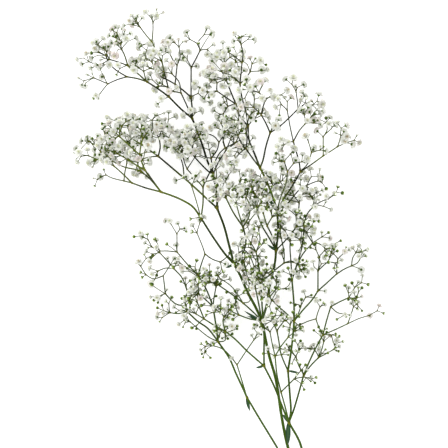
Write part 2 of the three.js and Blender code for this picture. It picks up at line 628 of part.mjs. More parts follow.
// The turn of a fork's three-sided ring, and the face that each arm leaves by, that suit the arms best.
function bestHub(axis, arms) {
  const orders = arms.length === 3
    ? [[0, 1, 2], [0, 2, 1], [1, 0, 2], [1, 2, 0], [2, 0, 1], [2, 1, 0]]
    : [[0, 1], [1, 0], [0, 2], [2, 0], [1, 2], [2, 1]];
  let best = { score: -Infinity };
  for (let turn = 0; turn < 120; turn += 10) {
    const start = turned(axis, Math.PI / 2, degrees(turn));
    const normals = [0, 1, 2].map((k) =>
      start.clone().applyAxisAngle(axis, degrees(60 + 120 * k)).multiplyScalar(HUB_RISE)
        .addScaledVector(axis, 0.5).normalize());
    for (const order of orders) {
      const dots = arms.map((arm, i) => normals[order[i]].dot(arm));
      const score = Math.min(...dots) * 2 + dots.reduce((sum, d) => sum + d, 0) * 0.3;
      if (score > best.score + 1e-9) best = { score, start, order };
    }
  }
  return best;
}

// Where four arms or more leave a knuckle, the two closest in direction share a short stalk at first.
function paired(arms, centre, reach) {
  const way = (arm) => arm.route[1].clone().sub(centre).normalize();
  let best = { dot: -Infinity };
  arms.forEach((a, i) => arms.slice(i + 1).forEach((b) => {
    const dot = way(a).dot(way(b));
    if (dot > best.dot) best = { dot, pair: [a, b] };
  }));
  const shared = way(best.pair[0]).add(way(best.pair[1])).normalize();
  const point = centre.clone().addScaledVector(shared, reach);
  for (const arm of best.pair) arm.route = [point, ...arm.route.slice(1)];
  const stub = { route: [centre, point], point, arms: best.pair, head: null };
  stub.heads = best.pair[0].heads + best.pair[1].heads;
  return [...arms.filter((arm) => !best.pair.includes(arm)), stub];
}

const STUB_REACH = 2.8; // length of such a shared stalk, as a share of the knuckle's radius

// Grows a knuckle's arms from the last ring of the stalk that leads to it.
function skinFork(skin, ring, centre, axis, radius, allArms) {
  const size = radius * KNUCKLE;
  let arms = allArms;
  while (arms.length > 3) arms = paired(arms, centre, size * STUB_REACH);
  const { start, order } = bestHub(axis, arms.map((arm) => arm.route[1].clone().sub(centre).normalize()));
  const below = centre.clone().addScaledVector(axis, -size * COLLAR_DROP);
  const collar = skin.ring(below, axis, start, [size], 3);
  skin.zip(ring, collar);
  const peak = skin.point(below.addScaledVector(axis, size * HUB_RISE));
  const sides = [0, 1, 2].map((k) => [collar[k], collar[(k + 1) % 3], peak]);
  arms.forEach((arm, i) => skinStalk(skin, sides[order[i]], arm));
  sides.forEach((side, k) => {
    if (!order.slice(0, arms.length).includes(k)) skin.faces.push(side);
  });
}

// A stalk from the ring it starts on to its end, and then what it carries.
function skinStalk(skin, from, knuckle) {
  const isLimb = stemKnuckles.includes(knuckle);
  const route = isLimb ? knuckle.route : straightened(knuckle.route);
  const radius = radiusOf(knuckle);
  let ring = from;
  for (let i = 1; i < route.length - 1; i++) {
    const axis = route[i + 1].clone().sub(route[i - 1]).normalize();
    const start = carriedOn(skin, ring, route[i], axis);
    const next = skin.ring(route[i], axis, start, [radius * BEND_RADIUS], isLimb ? LIMB_SIDES : 3);
    skin.zip(ring, next);
    ring = next;
  }
  const axis = direction(knuckle);
  if (!knuckle.head) {
    skinFork(skin, ring, knuckle.point, axis, radius, isLimb ? limbsOf(knuckle) : knuckle.arms);
    return;
  }
  const neck = skin.ring(knuckle.point, axis, carriedOn(skin, ring, knuckle.point, axis), [radius], 3);
  skin.zip(ring, neck);
  skinHead(skin, neck, knuckle.point, knuckle.head);
}

const BLOOM_SHAPE = { rim: 0.62, notch: 0.58, dip: 0.3, peak: 0.95 }; // shares of the bloom's radius
const BUD_SHAPE = { girth: 0.9, tip: 2.2 }; // heights, as shares of the bud's radius

// An open bloom is a star of petals round a raised heart; a bud is a pointed drop.
function skinHead(skin, neck, base, { kind, size, face }) {
  const raised = (share) => base.clone().addScaledVector(face, size * share);
  const start = perpendicular(face, v3(0.28, 0.91, 0.31));
  if (kind === 'bud') {
    const girth = skin.ring(raised(BUD_SHAPE.girth), face, start, [size], 3);
    skin.zip(neck, girth);
    skin.fan(girth, skin.point(raised(BUD_SHAPE.tip)));
    return;
  }
  const { rim, notch, dip, peak } = BLOOM_SHAPE;
  const flat = kind === 'rest';
  const rimCentre = flat ? v3(base.x, base.y, 0) : raised(rim);
  const drop = flat ? 0 : size * dip;
  const petals = skin.ring(rimCentre, face, start, [size, size * notch], PETALS * 2, drop);
  skin.zip(neck, petals);
  skin.fan(petals, skin.point(flat ? rimCentre : raised(peak)));
}

// ---- The main stem ----

function stemGeometry() {
  const skin = new Skin();
  const first = knuckles.fork_low;
  const axis = first.route[1].clone().sub(first.route[0]).normalize();
  const radius = radiusOf(first) * BEND_RADIUS;
  const end = skin.ring(first.route[0], axis, perpendicular(axis, UP), [radius], LIMB_SIDES);
  for (let k = 1; k < LIMB_SIDES - 1; k++) skin.faces.push([end[0], end[k + 1], end[k]]);
  skinStalk(skin, end, first);
  return skin.geometry();
}

// ---- The group ----

const matt = (color, roughness) =>
  new THREE.MeshStandardMaterial({ color, roughness, metalness: 0, flatShading: true });
const stemGreen = matt(0x4f7a2c, 0.55);
const leafGreen = matt(0x35602f, 0.6);
const bloomWhite = matt(0xf1f2ea, 0.8);

const plant = new THREE.Group();
const skinFaces = []; // every triangle of the nodes so far

function addNode(name, geometry, material) {
  const mesh = new THREE.Mesh(geometry, material);
  mesh.name = name;
  plant.add(mesh);
  const { index, attributes: { position } } = geometry;
  for (let i = 0; i < index.count; i += 3) {
    const face = new THREE.Triangle();
    face.setFromAttributeAndIndices(position, ...index.array.slice(i, i + 3));
    skinFaces.push(face);
  }
}

// ---- Seating sprays and leaves on the stem ----

// Round stretches, { from, to, radius }: the stem's own, and those of the feet seated so far.
const limbs = stemKnuckles.slice(1).flatMap((knuckle) => [
  ...knuckle.route.slice(1).map((to, i) => ({ from: knuckle.route[i], to, radius: radiusOf(knuckle) * 1.2 })),
  { from: knuckle.point, to: knuckle.point, radius: radiusOf(knuckle) * KNUCKLE }]);
const feet = [];

function clears(point, reach, stretches) {
  return stretches.every(({ from, to, radius }) => {
    const line = new THREE.Line3(from, to);
    const nearest = line.distance() ? line.closestPointToPoint(point, true, v3(0, 0, 0)) : from;
    return nearest.distanceTo(point) >= radius + reach + SEAT_GAP;
  });
}

function isOff(point, gap, faces) {
  const nearest = v3(0, 0, 0);
  return faces.every((face) => face.closestPointToPoint(point, nearest).distanceTo(point) >= gap);
}

const SEAT_STEP = 0.05;
const SEAT_REACH = 12; // how far from a knuckle its feet are measured against the nodes so far

// The foot of what leaves a knuckle by a straight way: it starts well clear of the stem and of the
// feet seated before it, and moves in until a point of its skin is SEAT_GAP from another node's.
function seat(knuckle, axis, size, skinPoints) {
  const at = (along) => knuckle.clone().addScaledVector(axis, along);
  let along = size;
  while (!clears(at(along), size, [...limbs, ...feet])) along += SEAT_STEP;
  const faces = skinFaces.filter((face) => !isOff(knuckle, SEAT_REACH, [face]));
  const fits = (place) => skinPoints(place).every((point) => isOff(point, SEAT_GAP, faces));
  while (fits(at(along - SEAT_STEP))) along -= SEAT_STEP;
  feet.push({ from: at(along), to: at(along + SEAT_REACH / 2), radius: size });
  return at(along);
}

// Points on the first millimetres of a stalk.
function stalkPoints(foot, axis, radius) {
  const sides = [0, 60, 120, 180, 240, 300].map((turn) => turned(axis, Math.PI / 2, degrees(turn)));
  return [0, 1.5, 3].flatMap((along) => [0, 0.5, 1].flatMap((share) => sides.map((side) =>
    foot.clone().addScaledVector(axis, along).addScaledVector(side, share * radius))));
}

function sprayGeometry(arm) {
  const skin = new Skin();
  const radius = radiusOf(arm);
  const axis = arm.route[1].clone().sub(arm.route[0]).normalize();
  const foot = seat(arm.route[0], axis, radius, (place) => stalkPoints(place, axis, radius));
  const ring = skin.ring(foot, axis, turned(axis, Math.PI / 2, 0), [radius], 3);
  skin.faces.push([ring[0], ring[2], ring[1]]);
  arm.route = [foot, ...arm.route.slice(1)];
  thinBuds(arm);
  skinStalk(skin, ring, arm);
  return skin.geometry();
}

// Each station is [share of the length, share of the width].
const STATIONS = [[0, 0.3], [0.22, 0.8], [0.5, 1], [0.78, 0.62]];
const LEAF = { thickness: 0.8, edge: 0.2, bow: 0.07 };

// The rings of a narrow pointed leaf with a ridge along its back, from its foot towards its tip.
function leafRings(foot, tip, width) {
  const axis = tip.clone().sub(foot).normalize();
  const length = tip.distanceTo(foot);
  const across = axis.clone().cross(UP).normalize();
  const lift = across.clone().cross(axis);
  const half = LEAF.thickness / 2;
  return STATIONS.map(([share, wide]) => {
    const bow = Math.sin(share * Math.PI) * length * LEAF.bow;
    const centre = foot.clone().addScaledVector(axis, share * length).addScaledVector(lift, bow);
    const side = (width * wide) / 2;
    return [[-side, LEAF.edge], [0, half], [side, LEAF.edge], [0, -half]].map(([aside, high]) =>
      centre.clone().addScaledVector(across, aside).addScaledVector(lift, high));
  });
}

function leafGeometry(knuckle, tip, width) {
  const way = perpendicular(direction(knuckle), tip.clone().sub(knuckle.point));
  const foot = seat(knuckle.point, way, LEAF.thickness, (place) => leafRings(place, tip, width).flat());
  const skin = new Skin();
  const rings = leafRings(foot, tip, width).map((ring) => ring.map((p) => skin.point(p)));
  const [a, b, c, d] = rings[0];
  skin.faces.push([a, c, b], [a, d, c]);
  rings.slice(1).forEach((ring, i) => skin.zip(rings[i], ring));
  skin.fan(rings[rings.length - 1], skin.point(tip));
  return skin.geometry();
}

// ---- The nodes ----

addNode('main_stem', stemGeometry(), stemGreen);
for (const [name, [from]] of Object.entries(SPRAYS)) {
  const siblings = Object.entries(SPRAYS).filter(([, spray]) => spray[0] === from).map(([other]) => other);
  const before = STEM.filter((row) => row[1] === from).length;
  const arm = knuckles[from].arms[before + siblings.indexOf(name)];
  addNode('spray_' + name, sprayGeometry(arm), bloomWhite);
}
for (const [name, [from, place, height, width]] of Object.entries(LEAVES)) {
  addNode(name, leafGeometry(knuckles[from], onPlan(place, height), width), leafGreen);
}

export default plant;
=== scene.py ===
"""A cut stem of gypsophila, dressed for a render: fine stalks, double blooms, buds and leaves.

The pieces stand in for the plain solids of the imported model. The plant is grown here by the same rule
and with the same seeded draws as those solids, so each fine piece lies where its solid lies. More fine
stalks and heads than the solids have then grow among them.
The plan's places and sizes are in millimetres; Blender's own lengths are in metres.
"""
import functools
import json
import math
from collections import namedtuple

import bpy
import numpy as np
from bpy.props import FloatProperty, FloatVectorProperty, PointerProperty
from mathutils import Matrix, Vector

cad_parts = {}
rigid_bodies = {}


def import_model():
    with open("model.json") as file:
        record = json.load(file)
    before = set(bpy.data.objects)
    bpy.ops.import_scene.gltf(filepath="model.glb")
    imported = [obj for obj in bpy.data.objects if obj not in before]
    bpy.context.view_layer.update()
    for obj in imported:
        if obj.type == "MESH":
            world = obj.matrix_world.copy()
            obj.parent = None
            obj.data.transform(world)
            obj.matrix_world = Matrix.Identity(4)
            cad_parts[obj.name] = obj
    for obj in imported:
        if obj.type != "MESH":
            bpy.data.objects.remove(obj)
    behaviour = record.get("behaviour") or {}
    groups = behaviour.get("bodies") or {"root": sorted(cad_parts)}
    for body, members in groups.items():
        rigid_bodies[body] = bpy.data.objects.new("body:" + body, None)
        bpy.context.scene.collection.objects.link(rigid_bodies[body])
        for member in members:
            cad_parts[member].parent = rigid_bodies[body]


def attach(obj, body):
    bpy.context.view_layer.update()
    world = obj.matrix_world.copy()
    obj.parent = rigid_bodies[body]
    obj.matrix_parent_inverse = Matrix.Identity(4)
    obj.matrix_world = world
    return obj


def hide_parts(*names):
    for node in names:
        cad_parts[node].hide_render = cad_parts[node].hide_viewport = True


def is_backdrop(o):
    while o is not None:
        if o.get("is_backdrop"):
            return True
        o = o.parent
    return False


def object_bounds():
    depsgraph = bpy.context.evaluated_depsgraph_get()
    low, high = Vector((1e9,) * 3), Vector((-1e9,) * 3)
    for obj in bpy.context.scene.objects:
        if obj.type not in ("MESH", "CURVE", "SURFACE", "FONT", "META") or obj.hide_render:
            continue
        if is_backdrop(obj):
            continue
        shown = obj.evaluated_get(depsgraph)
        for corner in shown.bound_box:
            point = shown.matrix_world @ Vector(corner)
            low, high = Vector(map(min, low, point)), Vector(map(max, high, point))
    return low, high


bl_info = {
    "name": "Gypsophila Stem",
    "version": (1, 0, 0),
    "blender": (4, 5, 0),
    "location": "View3D > Sidebar > Gypsophila",
    "description": "Grows the stalks, blooms, buds and leaves of a cut gypsophila stem, and lights them",
    "category": "Object",
}

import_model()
CAD_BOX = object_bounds()
MM = 0.001  # a millimetre, in metres

# ---- The plan of the plant, which its solids share ----

# Places on the plan are [x, down]: millimetres to the right of and below the corner of a plan sheet.
ORIGIN = (227.7, 257.8)  # the plan point that lies over the origin
CUT_END = [308, 508]  # the cut end of the stem, on the plan
CUT_HEIGHT = 1.71  # of its axis there, so that it rests on the surface
PEDICEL_RADIUS = 0.45  # kept clear round a stalk that carries one head
BLOOM_RADIUS = [2.9, 4.1]  # smallest and largest open bloom at the top of the plant
BUD_RADIUS = [1.2, 1.9]  # smallest and largest bud there
OPEN_SHARE = 0.6  # share of the heads there that are open blooms
CLEARANCE = 0.45  # between any two stalks or heads that don't grow from each other
TOP = 128  # the heads and fine stalks grow no higher than this above the surface
LATE = {"from": 227, "to": 347, "size": 0.8, "open": 0.72}  # younger sprays: plan downs, shares left

BUD = 0  # a stalk that ends in a single bud
BLOOM = 1  # a stalk that ends in a single bloom; a larger number is a cyme of that many heads
REST = -1  # a stalk that ends in a bloom lying face down on the surface

# The main stem: knuckle, the knuckle it grows from, its height, and the route to it on the plan.
STEM = [
    ["fork_low", "cut", 5, [[306, 499], [303, 489]]],
    ["left_low", "fork_low", 16, [[291, 473], [277, 448], [260, 420], [247, 398]]],
    ["fork", "fork_low", 10, [[299, 471]]],
    ["hub", "fork", 36, [[290, 454], [283, 424], [276, 380], [269, 355], [262, 321]]],
    ["cross", "fork", 30, [[303, 459], [300, 443], [289, 423]]],
    ["left_mid", "cross", 48, [[284, 411], [274, 386], [264, 366]]],
    ["right_mid", "cross", 46, [[291, 412], [290, 395], [288, 371]]],
    ["right_low", "cross", 30, [[294, 410], [299, 393], [304, 375]]],
    ["inner", "cross", 56, [[286, 410], [281, 392]]],
    ["centre", "hub", 52, [[256, 308], [247, 291], [240, 275], [234, 264]]],
    ["upper", "hub", 64, [[267, 304], [270, 285], [275, 262], [276, 250]]],
    ["right_hub", "right_mid", 60, [[291, 352], [293, 335], [294, 321]]],
    ["top_low", "centre", 44, [[229, 245], [224, 226], [217, 208]]],
    ["top_fork", "top_low", 42, [[217, 196], [213, 174]]],
    ["crown_low", "upper", 72, [[278, 230], [277, 210]]],
    ["crown", "crown_low", 64, [[272, 195], [266, 180], [260, 168]]],
]

# The sprays: the knuckle each grows from, then its arms. An arm is its height at the end, its route
# on the plan, and what it carries there: BUD, BLOOM, REST, a number of heads, or a list of arms.
SPRAYS = {
    "low_left": ["left_low", [26, [[243, 389], [236, 374], [229, 358], [218, 342]], [
      [34, [[208, 337], [190, 322]], 4],
      [14, [[213, 335], [207, 328], [198, 322], [187, 312]], [
        [10, [[184, 307], [175, 304], [165, 294]], [
          [4, [[157, 289], [150, 284]], REST],
          [22, [[164, 284], [163, 276]], [
            [30, [[153, 279], [146, 275]], 4],
            [16, [[167, 270], [170, 265]], 3]]],
          [14, [[158, 297]], 3]]],
        [26, [[185, 303], [187, 291]], [
          [36, [[182, 278], [174, 269]], [
            [46, [[168, 262], [160, 253]], [[52, [[152, 247]], 4], [42, [[153, 254]], 3]]],
            [30, [[166, 268], [158, 271]], 4]]],
          [14, [[192, 285], [197, 277]], 3]]],
        [20, [[178, 314], [170, 313]], 4]]],
      [40, [[216, 326], [213, 307]], [
        [48, [[207, 291], [198, 275]], [
          [56, [[188, 265], [177, 252]], [
            [64, [[177, 243], [177, 234]], [
              [68, [[174, 229], [171, 224]], 3],
              [60, [[180, 229]], 2]]],
            [50, [[168, 251], [160, 251]], 4],
            [62, [[168, 245]], BUD]]],
          [54, [[202, 262], [205, 254]], [
            [60, [[202, 245], [197, 233]], 4],
            [48, [[212, 259], [220, 262]], 5]]],
          [62, [[189, 269], [180, 263]], 4]]],
        [34, [[214, 298], [216, 287]], 6],
        [58, [[207, 301], [199, 294]], 6]]],
      [16, [[225, 341], [225, 334]], 3]]]],
    "low_sprig": ["left_low", [34, [[241, 378], [237, 365]], [
      [42, [[247, 350], [254, 340]], 4],
      [20, [[230, 356], [222, 349], [213, 346]], 4]]]],
    "left_reach": ["left_mid", [54, [[247, 351], [236, 340], [225, 331]], [
      [64, [[223, 322], [224, 317]], 5],
      [44, [[217, 327], [204, 319]], [[38, [[196, 314]], 4], [52, [[200, 309], [197, 302]], 5]]],
      [66, [[231, 327]], BLOOM]]]],
    "back": ["left_mid", [70, [[264, 350], [264, 335], [262, 305], [261, 281]], [
      [78, [[259, 268], [256, 252]], [[86, [[251, 243]], 4], [72, [[260, 240], [259, 233]], 5]]],
      [60, [[267, 277], [275, 270], [284, 263]], [
        [68, [[284, 252], [281, 238]], 6],
        [52, [[291, 261], [298, 264]], 4]]],
      [84, [[253, 276], [246, 270]], 6]]]],
    "hub_up": ["hub", [44, [[258, 300], [255, 286]], [[36, [[248, 278]], 7], [52, [[262, 276]], 7]]]],
    "hub_right": ["hub", [76, [[266, 308], [269, 298]], [[84, [[263, 288]], 7], [70, [[276, 289]], 6]]]],
    "hub_low_left": ["hub", [36, [[250, 319], [239, 315]], [[28, [[229, 310]], 7], [44, [[235, 304]], 6]]]],
    "hub_left": ["hub", [50, [[252, 311], [243, 303]], [
      [60, [[230, 293], [217, 284]], 8],
      [40, [[238, 295], [231, 286], [221, 279]], 8],
      [64, [[250, 301], [248, 295]], 4]]]],
    "left_high": ["centre", [66, [[225, 254], [213, 237], [201, 218]], [
      [80, [[193, 207], [182, 200], [170, 195], [161, 192]], [
        [70, [[146, 188], [132, 183]], [
          [78, [[123, 174], [114, 166]], [
            [82, [[104, 162], [96, 159], [89, 156]], 7],
            [70, [[109, 157], [101, 152]], [[64, [[95, 145]], 5], [76, [[103, 143]], 4]]]]],
          [62, [[124, 181]], [
            [56, [[112, 178], [106, 175]], 3],
            [68, [[125, 172], [127, 163]], 5]]]]],
        [90, [[153, 181], [145, 170]], [
          [96, [[142, 162], [140, 155]], [
            [100, [[130, 146], [120, 137]], [[104, [[113, 130]], 5], [94, [[122, 127]], 5]]],
            [88, [[141, 147], [143, 139]], 6]]],
          [82, [[136, 165], [127, 159]], [[86, [[118, 154]], 5], [76, [[125, 149]], 5]]]]],
        [72, [[151, 180], [141, 171]], [
          [64, [[133, 169], [124, 167], [112, 161]], [[58, [[102, 157]], 5], [68, [[109, 153]], 4]]],
          [56, [[137, 162]], 4]]]]],
      [54, [[203, 203], [203, 187]], [
        [44, [[195, 178], [187, 169]], [
          [38, [[184, 161], [182, 152]], 6],
          [50, [[191, 163], [195, 157]], 5]]],
        [62, [[207, 178], [213, 166], [219, 154], [225, 148]], [
          [68, [[231, 145], [236, 142]], 6],
          [58, [[223, 141], [225, 132]], 6]]]]],
      [76, [[196, 200], [192, 187]], [[82, [[195, 178]], 3], [72, [[188, 181]], 3]]]]]],
    "centre_tuft": ["centre", [62, [[238, 261], [239, 253]], [
      [68, [[238, 246]], 3],
      [54, [[244, 250], [250, 256]], 5]]]],
    "mid_left": ["centre", [74, [[241, 256], [246, 242], [243, 227]], [
      [80, [[233, 212], [226, 198]], [[86, [[219, 188]], 6], [74, [[230, 188]], 6]]],
      [88, [[239, 214], [236, 203]], 7],
      [64, [[249, 216], [250, 206]], [[58, [[246, 197]], 6], [70, [[256, 198]], 6]]]]]],
    "top_left_low": ["top_low", [30, [[205, 197], [192, 185], [184, 178]], [
      [20, [[171, 167], [158, 156]], [
        [16, [[148, 149], [141, 144]], [
          [12, [[131, 138]], [[8, [[122, 134]], 5], [20, [[128, 128]], 5]]],
          [26, [[141, 133]], 7]]],
        [30, [[160, 147], [159, 138]], [[36, [[153, 130]], 5], [24, [[162, 128]], 4]]],
        [8, [[148, 157], [139, 160]], 5]]],
      [40, [[183, 166], [180, 156]], [[48, [[173, 147]], 7], [34, [[184, 146]], 6]]],
      [28, [[177, 180]], BLOOM]]]],
    "top_mid": ["top_fork", [34, [[212, 165], [211, 158]], [
      [26, [[217, 150], [219, 142]], [
        [20, [[214, 136], [206, 133]], 8],
        [32, [[223, 136], [226, 129]], 7]]],
      [42, [[205, 157], [197, 153]], 7]]]],
    "top_inner": ["top_fork", [54, [[208, 171], [200, 163], [192, 154]], [
      [60, [[186, 147]], 8],
      [48, [[193, 144]], 7]]]],
    "top_right": ["top_fork", [30, [[219, 161], [226, 150]], [
      [22, [[234, 144]], 6],
      [38, [[231, 138]], 6]]]],
    "top": ["top_fork", [46, [[207, 160], [203, 147], [197, 130], [192, 118]], [
      [32, [[192, 108], [191, 97]], [
        [20, [[191, 80], [191, 67]], [
          [26, [[196, 58], [200, 50]], [
            [22, [[197, 43]], [[18, [[204, 34]], 3], [28, [[190, 39]], 3]]],
            [32, [[206, 40], [211, 33]], BLOOM],
            [36, [[207, 49]], 2]]],
          [4, [[187, 62], [183, 57]], REST],
          [30, [[187, 59]], 4]]],
        [44, [[183, 90], [175, 84]], [
          [54, [[168, 80], [160, 76], [155, 70]], [[60, [[152, 62]], 5], [48, [[146, 66]], 4]]],
          [38, [[176, 75], [177, 65]], [
            [34, [[180, 57], [179, 47]], 4],
            [44, [[173, 60], [170, 54]], 6]]]]],
        [24, [[198, 93]], 2]]],
      [60, [[187, 106], [181, 93]], [
        [70, [[179, 82], [172, 74]], 5],
        [54, [[173, 91], [167, 87]], 5]]],
      [72, [[182, 110], [169, 97]], [
        [80, [[158, 89], [147, 82]], [
          [88, [[138, 74], [128, 66]], [
            [94, [[125, 56], [122, 50]], 8],
            [84, [[117, 62], [110, 60]], 6]]],
          [72, [[138, 79], [127, 77]], [
            [64, [[117, 80], [108, 84]], [
              [60, [[101, 81], [94, 78]], 4],
              [68, [[100, 94]], 3]]],
            [78, [[117, 71], [110, 65]], [[82, [[99, 66]], 4], [74, [[106, 56]], 4]]]]],
          [92, [[144, 72]], 6]]],
        [64, [[168, 87], [165, 75], [162, 62]], [
          [56, [[157, 52], [152, 42]], [
            [50, [[146, 35], [140, 27]], 7],
            [60, [[153, 30], [153, 23]], 5]]],
          [72, [[155, 58]], 4]]]]]]]],
    "crown_left": ["crown", [52, [[255, 155], [249, 140], [248, 126]], [
      [40, [[240, 116], [236, 104]], [
        [26, [[231, 92], [226, 79]], [
          [16, [[222, 71]], [[4, [[216, 64], [212, 60]], REST], [24, [[224, 63]], 5]]],
          [36, [[230, 70]], 5],
          [28, [[217, 77]], 5]]],
        [50, [[227, 98], [217, 91]], [[56, [[217, 83]], 5], [46, [[208, 92]], 4]]],
        [30, [[228, 106]], 6]]],
      [64, [[246, 112], [242, 98], [240, 84]], [
        [72, [[241, 74], [242, 63]], [
          [78, [[235, 57], [229, 53]], 4],
          [68, [[243, 54], [241, 45]], 6]]],
        [58, [[246, 78], [250, 72]], [[52, [[259, 71]], 3], [64, [[252, 64]], 4]]],
        [56, [[233, 76]], 4]]],
      [46, [[254, 119]], 5]]]],
    "crown_mid": ["crown", [78, [[253, 159], [246, 149]], [
      [86, [[241, 143], [238, 136]], 7],
      [72, [[247, 139], [246, 129]], [[78, [[239, 121]], 6], [66, [[249, 117]], 6]]],
      [90, [[239, 154]], 7]]]],
    "crown_right": ["crown", [80, [[263, 160], [266, 146], [270, 133]], [
      [86, [[266, 124], [261, 115]], [
        [92, [[263, 107], [265, 101]], [[96, [[271, 96]], 4], [86, [[259, 93]], 5]]],
        [78, [[254, 108]], 6]]],
      [72, [[279, 127], [288, 119], [298, 109]], [
        [66, [[297, 99], [296, 92]], 5],
        [78, [[305, 104]], 5]]],
      [90, [[275, 125]], 3]]]],
    "upper_right": ["upper", [76, [[283, 243], [290, 235]], [
      [82, [[296, 227]], 6],
      [68, [[299, 239]], 5]]]],
    "upper_left": ["upper", [54, [[268, 236], [262, 226], [257, 213]], [
      [48, [[252, 203], [250, 195]], 8],
      [60, [[260, 203], [262, 193]], 8],
      [42, [[250, 220]], 6]]]],
    "upper_back": ["upper", [84, [[272, 236], [267, 226]], [
      [90, [[263, 213]], 7],
      [78, [[272, 217]], 6]]]],
    "right_high": ["crown_low", [90, [[285, 197], [294, 183], [300, 172]], [
      [98, [[299, 163], [296, 152], [293, 142]], [
        [102, [[290, 128], [288, 117], [287, 111]], [[108, [[281, 105]], 3], [98, [[287, 102]], 3]]],
        [90, [[299, 131], [305, 124]], [[84, [[311, 117]], 3], [94, [[304, 115]], 3]]],
        [110, [[284, 145]], 3]]],
      [78, [[312, 164], [323, 156]], [
        [72, [[323, 146], [323, 137]], [
          [66, [[327, 130], [326, 123]], 3],
          [78, [[331, 129]], 4],
          [70, [[318, 132]], BLOOM]]],
        [84, [[331, 151], [337, 147]], [[90, [[340, 138]], 4], [76, [[346, 143]], 3]]]]],
      [100, [[308, 163], [311, 153]], 6]]]],
    "crown_back": ["crown_low", [104, [[281, 196], [286, 182], [287, 172]], [
      [110, [[284, 162]], 6],
      [98, [[293, 164]], 5]]]],
    "right_fan": ["crown_low", [66, [[288, 203], [298, 191], [306, 186]], [
      [60, [[312, 183], [318, 181]], 4],
      [74, [[311, 177]], 3],
      [54, [[308, 194]], 5]]]],
    "crown_fan": ["crown_low", [60, [[272, 203], [268, 195]], [
      [54, [[265, 185]], 7],
      [68, [[273, 186]], 7]]]],
    "crown_twig": ["crown_low", [46, [[283, 201], [286, 191]], [
      [40, [[280, 181]], 7],
      [54, [[292, 182]], 7]]]],
    "right_up": ["right_hub", [52, [[294, 305], [292, 280]], [
      [62, [[291, 263], [290, 250], [290, 241]], [[68, [[285, 231]], 5], [56, [[294, 230]], 5]]],
      [42, [[296, 268], [303, 254], [313, 243]], [
        [36, [[322, 237]], 3],
        [50, [[309, 237], [305, 231]], 5],
        [32, [[320, 244], [326, 249]], 3]]],
      [74, [[297, 264], [302, 246], [304, 226]], [
        [82, [[307, 214], [315, 205]], [[88, [[322, 201], [328, 199]], 5], [76, [[312, 197]], 4]]],
        [66, [[299, 214], [299, 203]], [[60, [[294, 196]], 5], [72, [[303, 193]], 5]]]]]]]],
    "right_reach": ["right_hub", [46, [[303, 310], [312, 300], [318, 291]], [
      [54, [[318, 281], [318, 271]], [
        [62, [[319, 264], [319, 257]], [[68, [[324, 251]], 3], [58, [[316, 250]], 3]]],
        [46, [[323, 266], [328, 262]], [[40, [[331, 254]], 3], [52, [[335, 263]], 3]]],
        [66, [[314, 267]], 3]]],
      [34, [[327, 283], [337, 274]], [
        [22, [[345, 269], [352, 266]], [
          [18, [[358, 263], [361, 258]], 3],
          [32, [[353, 258], [356, 253]], 3],
          [4, [[358, 268], [362, 270]], REST]]],
        [44, [[337, 266], [338, 259]], [[50, [[344, 253]], 3], [38, [[334, 254]], 3]]]]]]]],
    "hub_twig": ["right_hub", [72, [[286, 313], [278, 306], [272, 300]], 6]],
    "hub_bud": ["right_hub", [40, [[299, 312], [301, 306]], 6]],
    "mid_twig": ["right_mid", [58, [[281, 354], [279, 342], [277, 331]], [
      [66, [[272, 321]], 5],
      [52, [[284, 321]], 5]]]],
    "inner_high": ["inner", [70, [[277, 375], [275, 356]], [
      [78, [[281, 346], [288, 337]], [[84, [[290, 325]], 5], [72, [[295, 331]], 3]]],
      [64, [[272, 343], [270, 332]], 5]]]],
    "inner_low": ["inner", [62, [[285, 388], [294, 379]], 4]],
    "low_tuft": ["right_low", [42, [[299, 366], [296, 357]], 7]],
    "low_right": ["right_low", [22, [[311, 366], [319, 358]], [
      [30, [[322, 350], [324, 342]], 4],
      [12, [[327, 354], [334, 350]], 4],
      [20, [[315, 350]], 3]]]],
    "right_out": ["right_low", [38, [[309, 363], [316, 348], [323, 335]], [
      [48, [[318, 325], [316, 319]], [
        [54, [[318, 312], [320, 307]], 3],
        [42, [[309, 321], [302, 324]], 4]]],
      [30, [[327, 320], [331, 307]], [
        [24, [[340, 302], [349, 298]], [[18, [[353, 292], [355, 288]], 4], [30, [[356, 299]], 2]]],
        [38, [[338, 313], [345, 314]], 2]]],
      [22, [[335, 330], [348, 324]], [
        [14, [[359, 319], [369, 316]], 4],
        [32, [[351, 316], [354, 307]], 3]]],
      [34, [[331, 335]], 3]]]],
}

# Leaves: the knuckle, the tip on the plan, the tip's height, and the blade's width.
LEAVES = {
    "leaf_left_low": ["left_low", [250, 412], 10, 3.4],
    "leaf_cross": ["cross", [288, 446], 20, 5.2],
    "leaf_cross_left": ["cross", [283, 415], 24, 3.4],
    "leaf_inner": ["left_mid", [256, 368], 42, 2.6],
    "leaf_right_mid": ["right_mid", [300, 373], 44, 2.4],
    "leaf_hub_long": ["hub", [244, 311], 30, 2.6],
    "leaf_hub_short": ["hub", [247, 316], 40, 2.4],
    "leaf_centre": ["centre", [226, 268], 48, 2.6],
    "leaf_crown": ["crown_low", [268, 199], 82, 4.2],
    "leaf_upper": ["upper", [267, 244], 72, 2.8],
}
# ---- Growing the plant, as its solids grow ----

